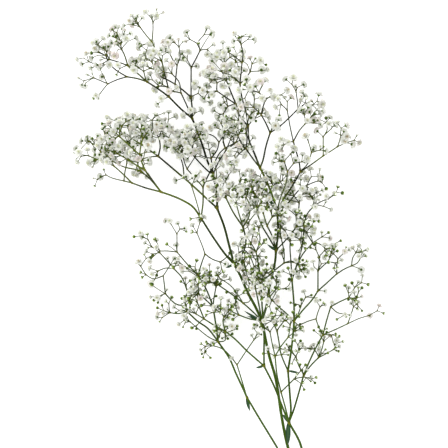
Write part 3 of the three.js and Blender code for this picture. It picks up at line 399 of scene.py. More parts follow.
SEED = 11
DRAW_FACTOR = 1664525  # each draw is the last one times this,
DRAW_ADDED = 1013904223  # plus this,
DRAW_RANGE = 2 ** 32  # less as many of this as there are in it
BALL_STEP = 1.5  # between the balls along a stalk
FORK_REACH = 5  # how far from their knuckle two stalks may be close
LIFTS = [0, 4, -4, 8, -8, 12, -12, 16, -16, 20, -20, 24, -24]  # tried in turn at an arm's end
ARM_RADIUS = 1  # kept clear round a spray's arms
LIMB_ROOM = 1.3  # radius kept clear round the main stem's limbs
HEAD_ROOM = {"ahead": 7, "radius": 6}  # kept for the heads at an arm's end
FACE_UP = 0.45  # how far a head turns from its stalk's direction towards the light
HEAD_MIDDLE = 0.45  # height of a head's middle over its foot, as a share of its radius
TRIES = 16
TRY_SHRINK = 0.012  # what each try takes off a stalk's length and its head's size
PEDICEL_LENGTH = [4.2, 7.4]
TWIG_LENGTH = [6.5, 11]
TWIG_RADIUS = 0.55  # kept clear round a stalk that forks again
ROLL_JITTER = [-25, 25]  # degrees
CENTRE_SPREAD = [4, 20]  # degrees off the axis, for the oldest head, in the middle of a fork
SIDE_SPREAD = [37, 54]  # degrees off the axis, for the two side stalks of a fork
FIRST_SIZE = 0.6  # of a single head, from its smallest to its largest
HEAD_SHRINK = 0.85  # what each try leaves of its size
# Fine stalks beyond those that the solids hold: how many are tried at each fork of the sprays, the share
# of them that grow, and their heads at most.
FILL_THIN = {"stalks": 1, "share": 0.5, "heads": 2}
FILL_THICK = {"stalks": 3, "share": 0.7, "heads": 3}
THICKETS = [  # where the sprays are at their fullest: places on the plan, and radii
    ([112, 48], 20), ([140, 46], 18), ([244, 84], 18), ([148, 110], 25), ([180, 112], 22), ([210, 110], 20),
    ([118, 150], 14), ([150, 150], 14), ([184, 140], 12), ([226, 170], 22), ([302, 112], 13),
    ([238, 200], 20), ([276, 204], 20), ([308, 212], 14), ([176, 300], 18), ([206, 304], 26),
    ([240, 250], 17), ([274, 266], 30), ([206, 336], 20), ([268, 364], 22), ([302, 364], 20),
    ([276, 304], 18), ([358, 304], 14)]
CLEARINGS = [([304, 78], 26), ([74, 46], 16), ([328, 146], 14), ([240, 250], 10)]  # where none are added
FILL_SPREAD = [30, 80]  # degrees off the fork's own direction
FILL_OPEN = [0.8, 0.3]  # how many of their heads are open: the top's, the foot's
FILL_EDGE = 14  # from the edge of the plant, within which no more grow
OLD_DOWNS = [150, 240]  # plan downs between which the heads turn from the oldest to the youngest
GOLDEN_ANGLE = math.pi * (3 - math.sqrt(5))
UP = np.array([0.0, 0.0, 1.0])
UPRIGHT = 0.9  # an axis that rises more than this in its length of 1 counts as upright

Head = namedtuple("Head", "kind size face")
Balls = namedtuple("Balls", "at radius ends")


def on_plan(place, height):
    return np.array([place[0] - ORIGIN[0], ORIGIN[1] - place[1], height], float)


def mix(span, share):
    """The value that lies at a share of the way through a span."""
    return span[0] + (span[1] - span[0]) * share


def length_of(vector):
    return math.sqrt(vector[0] ** 2 + vector[1] ** 2 + vector[2] ** 2)


def unit(vector):
    return vector / length_of(vector)


def spun(vector, axis, angle):
    """A vector turned about an axis that it is square to."""
    return vector * math.cos(angle) + np.cross(axis, vector) * math.sin(angle)


def turned(axis, spread, roll):
    """Turns away from an axis: `spread` off it, on the side that `roll` gives."""
    if abs(axis[2]) < UPRIGHT:
        side = np.array([-axis[1], axis[0], 0.0])
    else:
        side = np.array([1.0, 0.0, -axis[0] / axis[2]])
    return axis * math.cos(spread) + spun(unit(side), axis, roll) * math.sin(spread)


class Knuckle:
    """A fork or the foot of a head, with the route to it from the knuckle that it grows from."""

    made = 0

    def __init__(self, parent, route):
        Knuckle.made += 1
        self.number = Knuckle.made
        self.parent = parent
        self.route = route
        self.point = route[-1]
        self.arms = []
        self.head = None

    @property
    def direction(self):
        return unit(self.route[-1] - self.route[-2])

    @functools.cached_property
    def heads(self):
        return (1 if self.head else 0) + sum(arm.heads for arm in self.arms)

    def beyond(self):
        """This knuckle and every one that grows from it."""
        yield self
        for arm in self.arms:
            yield from arm.beyond()


class Space:
    """Balls that fill space: their middles, their radii, and the two knuckles that their stalk joins."""

    def __init__(self):
        self.at = np.empty((0, 3))
        self.radius = np.empty(0)
        self.ends = np.empty((0, 2), int)

    def add(self, balls):
        numbers = [end.number for end in balls.ends] + [0]
        count = len(balls.at)
        self.at = np.vstack([self.at, balls.at])
        self.radius = np.append(self.radius, np.full(count, balls.radius))
        self.ends = np.vstack([self.ends, np.tile(numbers[:2], (count, 1))])

    def touches(self, balls, own_head):
        """Whether any ball is too close to one here, apart from those of stalks off the same fork."""
        reach = (balls.radius + self.radius + CLEARANCE)[:, None]
        inside = (self.at > balls.at.min(axis=0) - reach) & (self.at < balls.at.max(axis=0) + reach)
        near = np.flatnonzero(inside.all(axis=1))
        at = self.at[near]
        ends = self.ends[near]
        fork = balls.ends[0]
        apart = np.linalg.norm(balls.at[:, None] - at, axis=2)
        joined = (ends == fork.number).any(axis=1) & (np.linalg.norm(at - fork.point, axis=1) < FORK_REACH)
        at_fork = np.linalg.norm(balls.at - fork.point, axis=1) < FORK_REACH
        hits = (apart < reach[near, 0]) & ~(at_fork[:, None] & joined)
        if own_head:
            hits &= ~(ends == fork.number).any(axis=1)
        return bool(hits.any())


def is_clear(balls, *spaces, own_head=False):
    if balls is None:
        return True
    if balls.at[:, 2].min() - balls.radius < CLEARANCE or balls.at[:, 2].max() + balls.radius > TOP:
        return False
    return not any(space.touches(balls, own_head) for space in spaces)


def balls_along(points, radius, ends):
    """Balls of one radius along a run of straight stretches."""
    at = []
    for low, high in zip(points, points[1:]):
        steps = math.ceil(length_of(high - low) / BALL_STEP)
        at += [low + (high - low) * (k / steps) for k in range(1, steps + 1)]
    return Balls(np.array(at), radius, ends)


def rising_route(start, plan, height):
    """The points of an arm, which rises evenly along its plan length from its parent's height to its own."""
    flat = [start] + [on_plan(place, start[2]) for place in plan]
    along = [0.0]
    for low, high in zip(flat, flat[1:]):
        along.append(along[-1] + length_of(high - low))
    return [np.array([p[0], p[1], start[2] + (height - start[2]) * a / along[-1]])
            for p, a in zip(flat, along)]


def lateness(point, least):
    """What is left here of the top's size or share of open heads: the lower sprays are younger."""
    down = ORIGIN[1] - point[1]
    late = min(1, max(0, (down - LATE["from"]) / (LATE["to"] - LATE["from"])))
    return 1 + (least - 1) * late


def is_within(places, point):
    """Whether a point is within any of the places' radii, on the plan."""
    return any(math.dist(on_plan(place, 0)[:2], point[:2]) < radius for place, radius in places)


def lowness(point):
    """From 0 in the upper sprays, which are the oldest, to 1 in the lowest."""
    return np.interp(ORIGIN[1] - point[1], OLD_DOWNS, [0, 1])


def head_of(knuckle, is_open, size):
    return Head("bloom" if is_open else "bud", size, unit(knuckle.direction + UP * FACE_UP))


def head_ball(knuckle):
    head = knuckle.head
    return Balls((knuckle.point + head.face * (head.size * HEAD_MIDDLE))[None], head.size, [knuckle])


class Plant:
    """The whole plant: each stalk grows clear of what was placed before it."""

    def __init__(self):
        self.state = SEED
        self.filling = False
        self.placed = Space()
        self.rooms = Space()
        self.open_ends = []
        self.knuckles = {"cut": Knuckle(None, [on_plan(CUT_END, CUT_HEIGHT)])}
        for name, source, height, plan in STEM:
            self.add_limb(name, self.knuckles[source], height, plan)
        for source, place, height, width in LEAVES.values():
            knuckle = self.knuckles[source]
            self.placed.add(balls_along([knuckle.point, on_plan(place, height)], width / 2, [knuckle]))
        self.sprays = {}
        for name, (source, arm) in SPRAYS.items():
            self.sprays[name] = self.grow_arm(self.knuckles[source], arm)
        for knuckle, heads in self.open_ends:
            self.grow_end(knuckle, heads)
        self.filling = True
        for spray in self.sprays.values():
            for knuckle in list(spray.beyond()):
                if knuckle.arms:
                    self.fill_out(knuckle)

    def random(self):
        """The next draw, from 0 to 1."""
        self.state = (self.state * DRAW_FACTOR + DRAW_ADDED) % DRAW_RANGE
        return self.state / DRAW_RANGE

    def add_limb(self, name, parent, height, plan):
        limb = Knuckle(parent, rising_route(parent.point, plan, height))
        parent.arms.append(limb)
        self.knuckles[name] = limb
        self.placed.add(balls_along(limb.route, LIMB_ROOM, [parent, limb]))

    def try_arm(self, parent, plan, height, has_room):
        """An arm to one height, its balls, and the room for its heads."""
        knuckle = Knuckle(parent, rising_route(parent.point, plan, height))
        balls = balls_along(knuckle.route, ARM_RADIUS, [parent, knuckle])
        ahead = knuckle.point + knuckle.direction * HEAD_ROOM["ahead"]
        room = Balls(ahead[None], HEAD_ROOM["radius"], [parent, knuckle]) if has_room else None
        return knuckle, balls, room

    def grow_arm(self, parent, arm):
        """An arm of the plan, lifted or lowered until it is clear, and what it carries."""
        height, plan, carries = arm
        is_fork = isinstance(carries, list)
        has_room = not is_fork and carries > BLOOM
        lifts = [0] if carries == REST else LIFTS
        clear = []
        first = None
        chosen = None
        for lift in lifts:
            made = self.try_arm(parent, plan, height + lift, has_room)
            first = first or made
            if not is_clear(made[1], self.placed):
                continue
            clear.append(made)
            if is_clear(made[1], self.rooms) and is_clear(made[2], self.placed, self.rooms):
                chosen = made
                break
        knuckle, balls, room = chosen or (clear + [first])[0]
        parent.arms.append(knuckle)
        self.placed.add(balls)
        if room:
            self.rooms.add(room)
        if is_fork:
            for part in carries:
                self.grow_arm(knuckle, part)
        elif carries == REST:
            knuckle.head = Head("rest", mix(BLOOM_RADIUS, 0.5), -UP)
            self.placed.add(Balls(knuckle.point[None], knuckle.head.size, [knuckle]))
        else:
            self.open_ends.append((knuckle, carries))
        return knuckle

    def open_share(self, point):
        """How many heads near a point are open."""
        return mix(FILL_OPEN, lowness(point)) if self.filling else OPEN_SHARE * lateness(point, LATE["open"])

    def grow_stalk(self, parent, axis, roll, spread, heads):
        """One stalk off a knuckle, ending in a head or, with more heads to carry, in a smaller fork."""
        is_open = self.random() < self.open_share(parent.point)
        for attempt in range(TRIES):
            wide = math.radians(mix(spread, self.random()) + attempt)
            away = turned(axis, wide, roll + math.radians(mix(ROLL_JITTER, self.random())))
            shrink = 1 - attempt * TRY_SHRINK
            length = mix(TWIG_LENGTH if heads > 1 else PEDICEL_LENGTH, self.random()) * shrink
            full = mix(BLOOM_RADIUS if is_open else BUD_RADIUS, self.random()) * shrink
            knuckle = Knuckle(parent, [parent.point, parent.point + away * length])
            radius = TWIG_RADIUS if heads > 1 else PEDICEL_RADIUS
            balls = balls_along(knuckle.route, radius, [parent, knuckle])
            ball = None
            if heads == 1:
                knuckle.head = head_of(knuckle, is_open, full * lateness(parent.point, LATE["size"]))
                ball = head_ball(knuckle)
            if not is_clear(balls, self.placed) or not is_clear(ball, self.placed):
                continue
            parent.arms.append(knuckle)
            self.placed.add(balls)
            if heads > 1:
                self.grow_cyme(knuckle, away, roll + math.pi / 2, heads)
            else:
                self.placed.add(ball)
            return
        if heads > 1:
            self.grow_stalk(parent, axis, roll, spread, 1)

    def grow_cyme(self, knuckle, axis, roll, heads):
        """A fork as gypsophila makes it: two side stalks, and one head between them."""
        sides = heads - 1 if heads > 2 else heads
        self.grow_stalk(knuckle, axis, roll, SIDE_SPREAD, math.ceil(sides / 2))
        if sides > 1:
            self.grow_stalk(knuckle, axis, roll + math.pi, SIDE_SPREAD, sides // 2)
        if heads > 2:
            self.grow_stalk(knuckle, axis, roll + math.pi / 2, CENTRE_SPREAD, 1)
        if not knuckle.arms:
            self.set_head(knuckle, BLOOM_RADIUS)

    def set_head(self, knuckle, sizes):
        """Ends a stalk in a single head, which shrinks until it has room or is as small as a bud gets."""
        size = mix(sizes, FIRST_SIZE)
        while True:
            knuckle.head = head_of(knuckle, size > BUD_RADIUS[1], size)
            size *= HEAD_SHRINK
            if size <= BUD_RADIUS[0] or is_clear(head_ball(knuckle), self.placed, own_head=True):
                break
        self.placed.add(head_ball(knuckle))

    def fill_out(self, knuckle):
        """More heads than the solids hold: fine stalks round a fork, wherever they have room."""
        fill = FILL_THICK if is_within(THICKETS, knuckle.point) else FILL_THIN
        (left, bottom, _), (right, top, _) = np.array(CAD_BOX) / MM
        x, y, _ = knuckle.point
        is_edge = min(x - left, right - x, y - bottom, top - y) < FILL_EDGE
        if is_edge or is_within(CLEARINGS, knuckle.point):
            return
        roll = mix([0, 2 * math.pi], self.random())
        for number in range(fill["stalks"]):
            heads = 1 + int(self.random() * fill["heads"])
            if self.random() < fill["share"]:
                self.grow_stalk(knuckle, knuckle.direction, roll + number * GOLDEN_ANGLE, FILL_SPREAD, heads)

    def grow_end(self, knuckle, heads):
        """The heads at an arm's end: a cyme, or a single head."""
        if heads > BLOOM:
            self.grow_cyme(knuckle, knuckle.direction, mix([0, 2 * math.pi], self.random()), heads)
        else:
            self.set_head(knuckle, BUD_RADIUS if heads == BUD else BLOOM_RADIUS)


@functools.lru_cache(maxsize=None)
def plant():
    return Plant()


# ---- Closed forms, in millimetres ----

# A form is a closed skin: rings of points joined ring by ring, with a point at each end. Its marks are
# numbers for each point, which the finishes read.
Form = namedtuple("Form", "points quads tris marks")


def closed(rings, foot, tip, **marks):
    """A closed form of rings, (count, sides, 3), and its two end points. A mark has a number a ring and
    side, or a number a ring, with the foot's and the tip's numbers first and last."""
    count, sides = rings.shape[:2]
    points = np.vstack([rings.reshape(-1, 3), foot, tip])
    here = np.arange(sides)
    beside = (here + 1) % sides
    starts = np.arange(count - 1)[:, None] * sides
    quads = np.stack([starts + here, starts + beside, starts + sides + beside, starts + sides + here], axis=2)
    last = (count - 1) * sides
    foot_at = count * sides
    tris = np.vstack([np.stack([beside, here, np.full(sides, foot_at)], axis=1),
                      np.stack([last + here, last + beside, np.full(sides, foot_at + 1)], axis=1)])
    spread = {}
    for mark, (first, middle, final) in marks.items():
        middle = np.asarray(middle, float)
        if middle.ndim == 1:
            middle = np.repeat(middle[:, None], sides, axis=1)
        spread[mark] = np.append(middle.reshape(-1), [first, final])
    return Form(points, quads.reshape(-1, 4), tris, spread)


def joined(forms):
    """One form of several."""
    starts = np.cumsum([0] + [len(form.points) for form in forms[:-1]])
    return Form(np.vstack([form.points for form in forms]),
                np.vstack([form.quads + start for form, start in zip(forms, starts)]),
                np.vstack([form.tris + start for form, start in zip(forms, starts)]),
                {mark: np.concatenate([form.marks[mark] for form in forms]) for mark in forms[0].marks})


def marked(form, **marks):
    """A form with more marks, each one number all over it."""
    extra = {mark: np.full(len(form.points), value) for mark, value in marks.items()}
    return form._replace(marks={**form.marks, **extra})


def across(axis, roll=0.0):
    """A direction square to an axis, turned about it by `roll`."""
    near = UP if abs(axis[2]) < UPRIGHT else np.array([1.0, 0.0, 0.0])
    return spun(unit(np.cross(near, axis)), axis, roll)


def placed(form, foot, axis, size, roll=0.0):
    """A form of unit size about +Z, set on a foot along an axis."""
    first = across(axis, roll)
    turn = np.stack([first, np.cross(axis, first), axis])
    return form._replace(points=foot + size * form.points @ turn)


def turned_rings(profile, sides, ridge=0.0):
    """Rings about +Z through [height, radius] pairs; every other point stands out by a share `ridge`."""
    angles = np.arange(sides) * 2 * math.pi / sides
    stand = 1 + ridge * np.cos(angles * sides / 2)
    return np.array([np.stack([np.cos(angles) * radius * stand, np.sin(angles) * radius * stand,
                               np.full(sides, height)], axis=1) for height, radius in profile])


# ---- Stalks ----

STALK_SIDES = 6
PEDICEL_SIDES = 5
LIMB_SIDES = 12
STALK_STEP = 3.2  # between the rings of a long stalk
LIMB_STEP = 2.4  # and of a limb
LEAST_STEPS = 3  # along the shortest stalk
LAST_STEP = 0.6  # of a step, from the last even ring to the stalk's end at least
FORK_RING = 1.5  # a ring this far from a stalk's start, in its radii, ends the flare there
JOINT_RINGS = [2.6, 1.2]  # and two this far from its end shape the swelling there
RINGS_APART = 0.4  # of a radius, between any two rings at least
STALK_TAPER = [1.06, 0.95]  # a stalk's radius at its start and its end, as shares of its own
FORK_FLARE = 0.2  # how much wider a stalk is where it starts, as a share
FOOT_FLARE = 0.3  # and where it meets its head
SWELL_LENGTH = 1.5  # length of a knuckle's swelling, as a share of the stalk's radius
LEAN = 0.35  # how far a short stalk's ends lean towards what they join
PITH_SHARE = 0.72  # radius of the pale pith that a cut shows, as a share of the stalk's
CAP = [(0.55, 0.8), (0.95, 0.0)]  # beyond a knuckle's middle: height and radius, as shares of its radius


def curve_through(route, first_way, last_way, samples=8):
    """Points along a smooth curve through a route, close together."""
    ways = [first_way] + [unit(b - a) for a, b in zip(route, route[2:])] + [last_way]
    t = (np.arange(samples) / samples)[:, None]
    runs = []
    for a, b, way_a, way_b in zip(route, route[1:], ways, ways[1:]):
        span = length_of(b - a)
        runs.append((1 + 2 * t) * (1 - t) ** 2 * a + t * (1 - t) ** 2 * span * way_a
                    + t ** 2 * (3 - 2 * t) * b + t ** 2 * (t - 1) * span * way_b)
    return np.vstack(runs + [route[-1][None]])


def stations_on(points, distances):
    """Points and directions at distances along a run of points."""
    along = np.append(0, np.cumsum(np.linalg.norm(np.diff(points, axis=0), axis=1)))
    at = np.array([np.interp(distances, along, points[:, k]) for k in range(3)]).T
    ways = np.gradient(at, distances, axis=0)
    return at, ways / np.linalg.norm(ways, axis=1, keepdims=True)


def rings_round(centres, ways, radii, sides):
    """Rings of points round centres, each turned as little as can be from the one before."""
    angles = np.arange(sides) * 2 * math.pi / sides
    start = across(ways[0])
    rings = []
    for centre, way, radius in zip(centres, ways, radii):
        start = unit(start - way * np.dot(start, way))
        side = np.cross(way, start)
        rings.append(centre + radius * (np.outer(np.cos(angles), start) + np.outer(np.sin(angles), side)))
    return np.array(rings)


def radius_of(knuckle, look):
    """A stalk's radius: it thickens with the heads that it carries, up to the cut end, which carries all."""
    growth = math.log(look.cut_radius / look.pedicel_radius, plant().knuckles["cut"].heads)
    return look.pedicel_radius / MM * max(1, knuckle.heads) ** growth


def stalk_curve(knuckle):
    """Points along a stalk's middle, the ends of which lean a little towards what they join."""
    parent = knuckle.parent
    route = knuckle.route
    first_way = unit(route[1] - route[0])
    last_way = knuckle.direction
    if len(route) == 2 and parent.parent:
        first_way = unit(first_way + parent.direction * LEAN)
    if knuckle.head:
        last_way = unit(last_way + knuckle.head.face * LEAN)
    return curve_through(route, first_way, last_way)


def ring_distances(length, radius, longest):
    """How far along a stalk its rings are: in even steps, with some more where its ends swell."""
    step = min(longest, length / LEAST_STEPS)
    ends = [0, radius * FORK_RING, *(length - radius * back for back in JOINT_RINGS), length]
    even = np.arange(step, length - step * LAST_STEP, step)
    distances = np.unique(np.clip(np.append(even, ends), 0, length))
    distances = distances[np.append(True, np.diff(distances) > radius * RINGS_APART)]
    distances[-1] = length
    return distances


def stalk_form(knuckle, look, sides, longest):
    """One stalk, from inside the knuckle it grows from to the knuckle or head at its end. Its finish reads
    how far round and how far along it each point is, in radii."""
    parent = knuckle.parent
    radius = radius_of(knuckle, look)
    curve = stalk_curve(knuckle)
    length = np.linalg.norm(np.diff(curve, axis=0), axis=1).sum()
    distances = ring_distances(length, radius, longest)
    centres, ways = stations_on(curve, distances)
    end_swell = FOOT_FLARE if knuckle.head else look.knuckle_swell - 1
    end_joint = np.exp(-((length - distances) / (radius * SWELL_LENGTH)) ** 2)
    start_joint = np.exp(-(distances / (radius * SWELL_LENGTH)) ** 2) * (parent.parent is not None)
    taper = np.interp(distances / length, [0, 1], STALK_TAPER)
    radii = radius * taper * (1 + end_swell * end_joint + FORK_FLARE * start_joint)
    joint = start_joint if knuckle.head else np.maximum(end_joint, start_joint)
    (cap_rise, cap_share), (tip_rise, _) = CAP
    swollen = radii[-1]
    cap = centres[-1] + ways[-1] * swollen * cap_rise
    first = 0 if parent.parent else 1  # only the cut end shows a ring of pith
    rings = rings_round(np.vstack([centres[:first], centres, cap]),
                        np.vstack([ways[:first], ways, ways[-1:]]),
                        np.concatenate([radii[:first] * PITH_SHARE, radii, [swollen * cap_share]]), sides)
    tip = centres[-1] + ways[-1] * swollen * tip_rise
    thick = min(1, math.log2(max(1, knuckle.heads)) / look.woody_doublings)
    joint = np.concatenate([joint[:first], joint, joint[-1:]])
    pith = np.append(np.ones(first), np.zeros(len(joint) - first))
    angles = np.arange(sides) * 2 * math.pi / sides
    run = np.concatenate([distances[:first], distances, distances[-1:]]) / radius + knuckle.number
    form = closed(rings, centres[0], tip, joint=(joint[0], joint, joint[-1]), pith=(first, pith, 0),
                  round_x=(0, [np.cos(angles)] * len(rings), 0),
                  round_y=(0, [np.sin(angles)] * len(rings), 0), run=(run[0], run, run[-1]))
    return marked(form, thick=thick)


BRACT_RISE = [(0.0, 0.5), (0.35, 1.0), (0.7, 0.6)]  # share of its length, share of its width
BRACT_WIDTH = 0.3  # half of it, as a share of the length
BRACT_THICK = 0.12  # half of it too
BRACT_START = 0.1  # how far out of its foot its first ring is, as a share of the length
BRACT_LEAN = 0.45  # how much further out it leans as it rises
BRACT_TIP = 0.65  # how far out its tip is
BRACT_JOINT = (0.6, [0.6, 0.35, 0.2], 0.1)  # how much of the knuckles' colour it takes, foot to tip
BRACT_RUN = (0, [1, 3, 5], 6)  # and how far along it each ring counts for the streaks
BRACT_WOOD = 0.1  # it is coloured as a stalk this thick


def bract_form(foot, way, out, length):
    """A small pointed scale on a knuckle, which leans out as it rises."""
    side = np.cross(way, out)
    rings = []
    for share, wide in BRACT_RISE:
        centre = foot + way * share * length + out * (BRACT_START + share ** 2 * BRACT_LEAN) * length
        half = BRACT_WIDTH * wide * length
        thick = BRACT_THICK * wide * length
        rings.append([centre + out * thick, centre + side * half, centre - out * thick, centre - side * half])
    tip = foot + way * length + out * BRACT_TIP * length
    form = closed(np.array(rings), foot, tip, joint=BRACT_JOINT, run=BRACT_RUN)
    return marked(form, pith=0.0, thick=BRACT_WOOD, round_x=0.0, round_y=0.0)


# ---- Blooms, buds and their cups ----

BLOOM_FORMS = 9  # different blooms, each of which is then turned at random
YOUNG_FORMS = 5  # and different half-open ones
WHORL_TURN = 0.38  # how far each whorl is turned from the one outside it, as a share of a turn
PETAL_FOOT = [0.05, 0.26]  # radius and height where a petal starts, as shares of the bloom's radius
PETAL_MIDDLE = 0.34  # height that the petals spread from
PETAL_ROWS = [0.55, 0.92]  # of the two rings between a petal's foot and its tip
PETAL_WIDE = [0.66, 1.0]  # their widths, as shares of the widest
PETAL_SPANS = [1, 0.36, -0.36, -1]  # points across a petal's face
PETAL_BACK = [2, 1]  # those of them that its back has too
BACK_ASIDE = 0.3  # how far aside the finish counts those to be
NOTCH_ALONG = 0.96  # and how far along it counts the notch
PETAL_STRAY = [0.13, 0.08, 0.035]  # how far its turn, rise and reach stray
BEND_UP = [0.2, 0.35]  # how far over its foot a petal bends: when flat, and what a steep one adds
BEND_OUT = 0.24  # and how far out of its foot, when flat
PETAL_LOBE = 0.08  # how far its two lobes stand beyond the notch between them
PETAL_THICK = 0.02  # half of a petal's
PETAL_CUP = 0.12  # how far its sides rise over its middle
CUP_LEVEL = 0.4  # the squared span at which they neither rise nor fall
CRIMP = 0.05  # how far its face strays from smooth

# From the rim in: how many petals, how far they rise in degrees, their reach, and half their width.
OPEN_WHORLS = [(7, 3, 1.0, 0.42), (6, 27, 0.97, 0.4), (5, 50, 0.88, 0.34), (4, 73, 0.74, 0.24)]
YOUNG_WHORLS = [(5, 40, 1.0, 0.46), (5, 62, 0.98, 0.38), (3, 82, 0.9, 0.26)]


def petal_form(rng, turn, rise, reach, half):
    """A petal with a notched tip, in a bloom of radius 1 about +Z."""
    turn, rise, reach = [value + rng.normal(0, stray)
                         for value, stray in zip([turn, rise, reach], PETAL_STRAY)]
    out = np.array([math.cos(turn), math.sin(turn), 0.0])
    side = np.array([-out[1], out[0], 0.0])
    foot = out * PETAL_FOOT[0] + UP * PETAL_FOOT[1]
    tip = out * reach * math.cos(rise) + UP * (PETAL_MIDDLE + reach * math.sin(rise))
    bend = foot + UP * (BEND_UP[0] + BEND_UP[1] * math.sin(rise)) + out * BEND_OUT * math.cos(rise)
    lift = unit(np.cross(tip - bend, side))
    way = unit(tip - bend)
    rings = []
    for row, wide in zip(PETAL_ROWS, PETAL_WIDE):
        centre = (1 - row) ** 2 * foot + 2 * row * (1 - row) * bend + row ** 2 * tip
        crimp = rng.normal(0, CRIMP * row, len(PETAL_SPANS))
        face = [centre + side * half * wide * span
                + way * PETAL_LOBE * row * (1 - abs(span))
                + lift * (PETAL_CUP * wide * (span * span - CUP_LEVEL) * half * 2 + crimp[i])
                for i, span in enumerate(PETAL_SPANS)]
        rings.append(face + [face[i] - lift * PETAL_THICK * 2 for i in PETAL_BACK])
    notch = tip - lift * PETAL_THICK
    aside = [abs(span) for span in PETAL_SPANS] + [BACK_ASIDE] * len(PETAL_BACK)
    return closed(np.array(rings), foot, notch, along=(0, PETAL_ROWS, NOTCH_ALONG),
                  aside=(0, [aside] * len(PETAL_ROWS), 0))


def bloom_form(rng, whorls):
    """A bloom of radius 1 about +Z: its whorls of petals, each turned from the one outside it."""
    petals = []
    for depth, (count, rise, reach, half) in enumerate(whorls):
        start = rng.uniform(0, 2 * math.pi) if depth == 0 else start + WHORL_TURN * 2 * math.pi
        for k in range(count):
            petal = petal_form(rng, start + k * 2 * math.pi / count, math.radians(rise), reach, half)
            petals.append(marked(petal, heart=depth / (len(whorls) - 1)))
    return joined(petals)


@functools.lru_cache(maxsize=None)
def bloom_forms():
    """The different blooms that there are of each stage that shows its petals."""
    rng = np.random.default_rng(SEED)
    return {"bloom": [bloom_form(rng, OPEN_WHORLS) for _ in range(BLOOM_FORMS)],
            "young": [bloom_form(rng, YOUNG_WHORLS) for _ in range(YOUNG_FORMS)]}


SEPAL_SIDES = np.cos(np.arange(10) * math.pi)  # round a cup or bud: 1 on a sepal's rib, -1 between two
SEPAL_RIDGE = (1 + SEPAL_SIDES) / 2
CUP_PROFILE = [(0.0, 0.11), (0.1, 0.26), (0.26, 0.35), (0.42, 0.37)]  # height, radius
CUP_RISE = [0, 0.12, 0.3, 0.56]  # how far up a bud the finish counts each ring to be
CUP_ENDS = [-0.03, 0.25]  # heights of its foot and of its middle, inside the bloom
CUP_TEETH = 0.08  # how far the five teeth rise and fall about the cup's rim
BUD_PROFILE = [(0.0, 0.3), (0.28, 0.72), (0.85, 1.0), (1.3, 0.9), (1.7, 0.58), (2.02, 0.26)]
BUD_ENDS = [-0.05, 2.2]  # heights of its foot and its tip
BUD_RIDGE = 0.05  # how far its ribs stand out, as a share of the radius


@functools.lru_cache(maxsize=None)
def cup_form():
    """The green cup under a bloom of radius 1, with five teeth."""
    rings = turned_rings(CUP_PROFILE, len(SEPAL_SIDES))
    rings[-1, :, 2] += SEPAL_SIDES * CUP_TEETH
    foot, middle = CUP_ENDS
    return closed(rings, UP * foot, UP * middle, rise=(0, CUP_RISE, 0.5),
                  ridge=(0.5, [SEPAL_RIDGE] * len(rings), 0.5))


@functools.lru_cache(maxsize=None)
def bud_form():
    """A closed bud of radius 1: five sepals round the tip of the rolled petals."""
    rings = turned_rings(BUD_PROFILE, len(SEPAL_SIDES), BUD_RIDGE)
    foot, tip = BUD_ENDS
    rise = [height / tip for height, _ in BUD_PROFILE]
    return closed(rings, UP * foot, UP * tip, rise=(0, rise, 1),
                  ridge=(0.5, [SEPAL_RIDGE] * len(rings), 0.5))


# ---- Leaves ----

LEAF_ROWS = 20
LEAF_SPANS = np.array([-1, -0.75, -0.4, -0.08, 0, 0.08, 0.4, 0.75, 1])  # points across a blade's face
LEAF_MIDRIB = 4  # the one of them in the middle
LEAF_BACK = range(7, 0, -1)  # and those that its back has too
LEAF_STOP = 0.985  # where its last row is, as a share of its length
LEAF_ROOT = 0.6  # how far its foot is from the stem's middle, as a share of the stem's radius
LEAF_THICK = 0.16  # of a blade, beside its midrib
MIDRIB_THICK = 1.8  # how much thicker the midrib is
LEAF_BOW = 0.07  # how far it arches, as a share of its length
LEAF_SWELL = [0.6, 0.8]  # how a blade widens from its foot, and how it narrows to its tip
LEAF_CLASP = 0.03  # how far behind its foot a blade would come to nothing, as a share of its length
LEAF_FOLD = 0.28  # how far the blade's halves rise off the midrib, as a share of the half width
FOLD_POWER = 1.4  # over 1, so that they rise more steeply towards the edges
LEAF_GROOVE = 0.1  # how deep the midrib is sunk


def leaf_form(knuckle, tip, width, stem_radius, twist):
    """A narrow pointed blade, folded along a sunk midrib, that clasps the stem at its foot."""
    reach = tip - knuckle.point
    way = knuckle.direction
    foot = knuckle.point + unit(reach - way * np.dot(reach, way)) * stem_radius * LEAF_ROOT
    axis = unit(tip - foot)
    length = length_of(tip - foot)
    side = unit(np.cross(axis, UP))
    lift = np.cross(side, axis)
    shares = np.linspace(0, LEAF_STOP, LEAF_ROWS)
    halves = (shares + LEAF_CLASP) ** LEAF_SWELL[0] * (1 - shares) ** LEAF_SWELL[1]
    halves *= width / 2 / halves.max()
    rings = []
    for share, half in zip(shares, halves):
        centre = foot + axis * share * length + lift * math.sin(share * math.pi) * length * LEAF_BOW
        angle = twist * share
        flat = side * math.cos(angle) + lift * math.sin(angle)
        rise = lift * math.cos(angle) - side * math.sin(angle)
        heights = LEAF_FOLD * np.abs(LEAF_SPANS) ** FOLD_POWER * half - LEAF_GROOVE * (LEAF_SPANS == 0)
        top = [centre + flat * half * span + rise * height for span, height in zip(LEAF_SPANS, heights)]
        under = [top[i] - rise * LEAF_THICK * (MIDRIB_THICK if i == LEAF_MIDRIB else 1) for i in LEAF_BACK]
        rings.append(top + under)
    ribs = 1 - np.abs(np.append(LEAF_SPANS, LEAF_SPANS[LEAF_BACK]))
    under = np.append(np.zeros(len(LEAF_SPANS)), np.ones(len(LEAF_BACK)))
    return closed(np.array(rings), rings[0][LEAF_MIDRIB], tip, along=(0, shares, 1),
                  rib=(1, [ribs] * LEAF_ROWS, 1), under=(0, [under] * LEAF_ROWS, 0))


# ---- Finishes ----

MATHS = {"+": "ADD", "-": "SUBTRACT", "*": "MULTIPLY"}


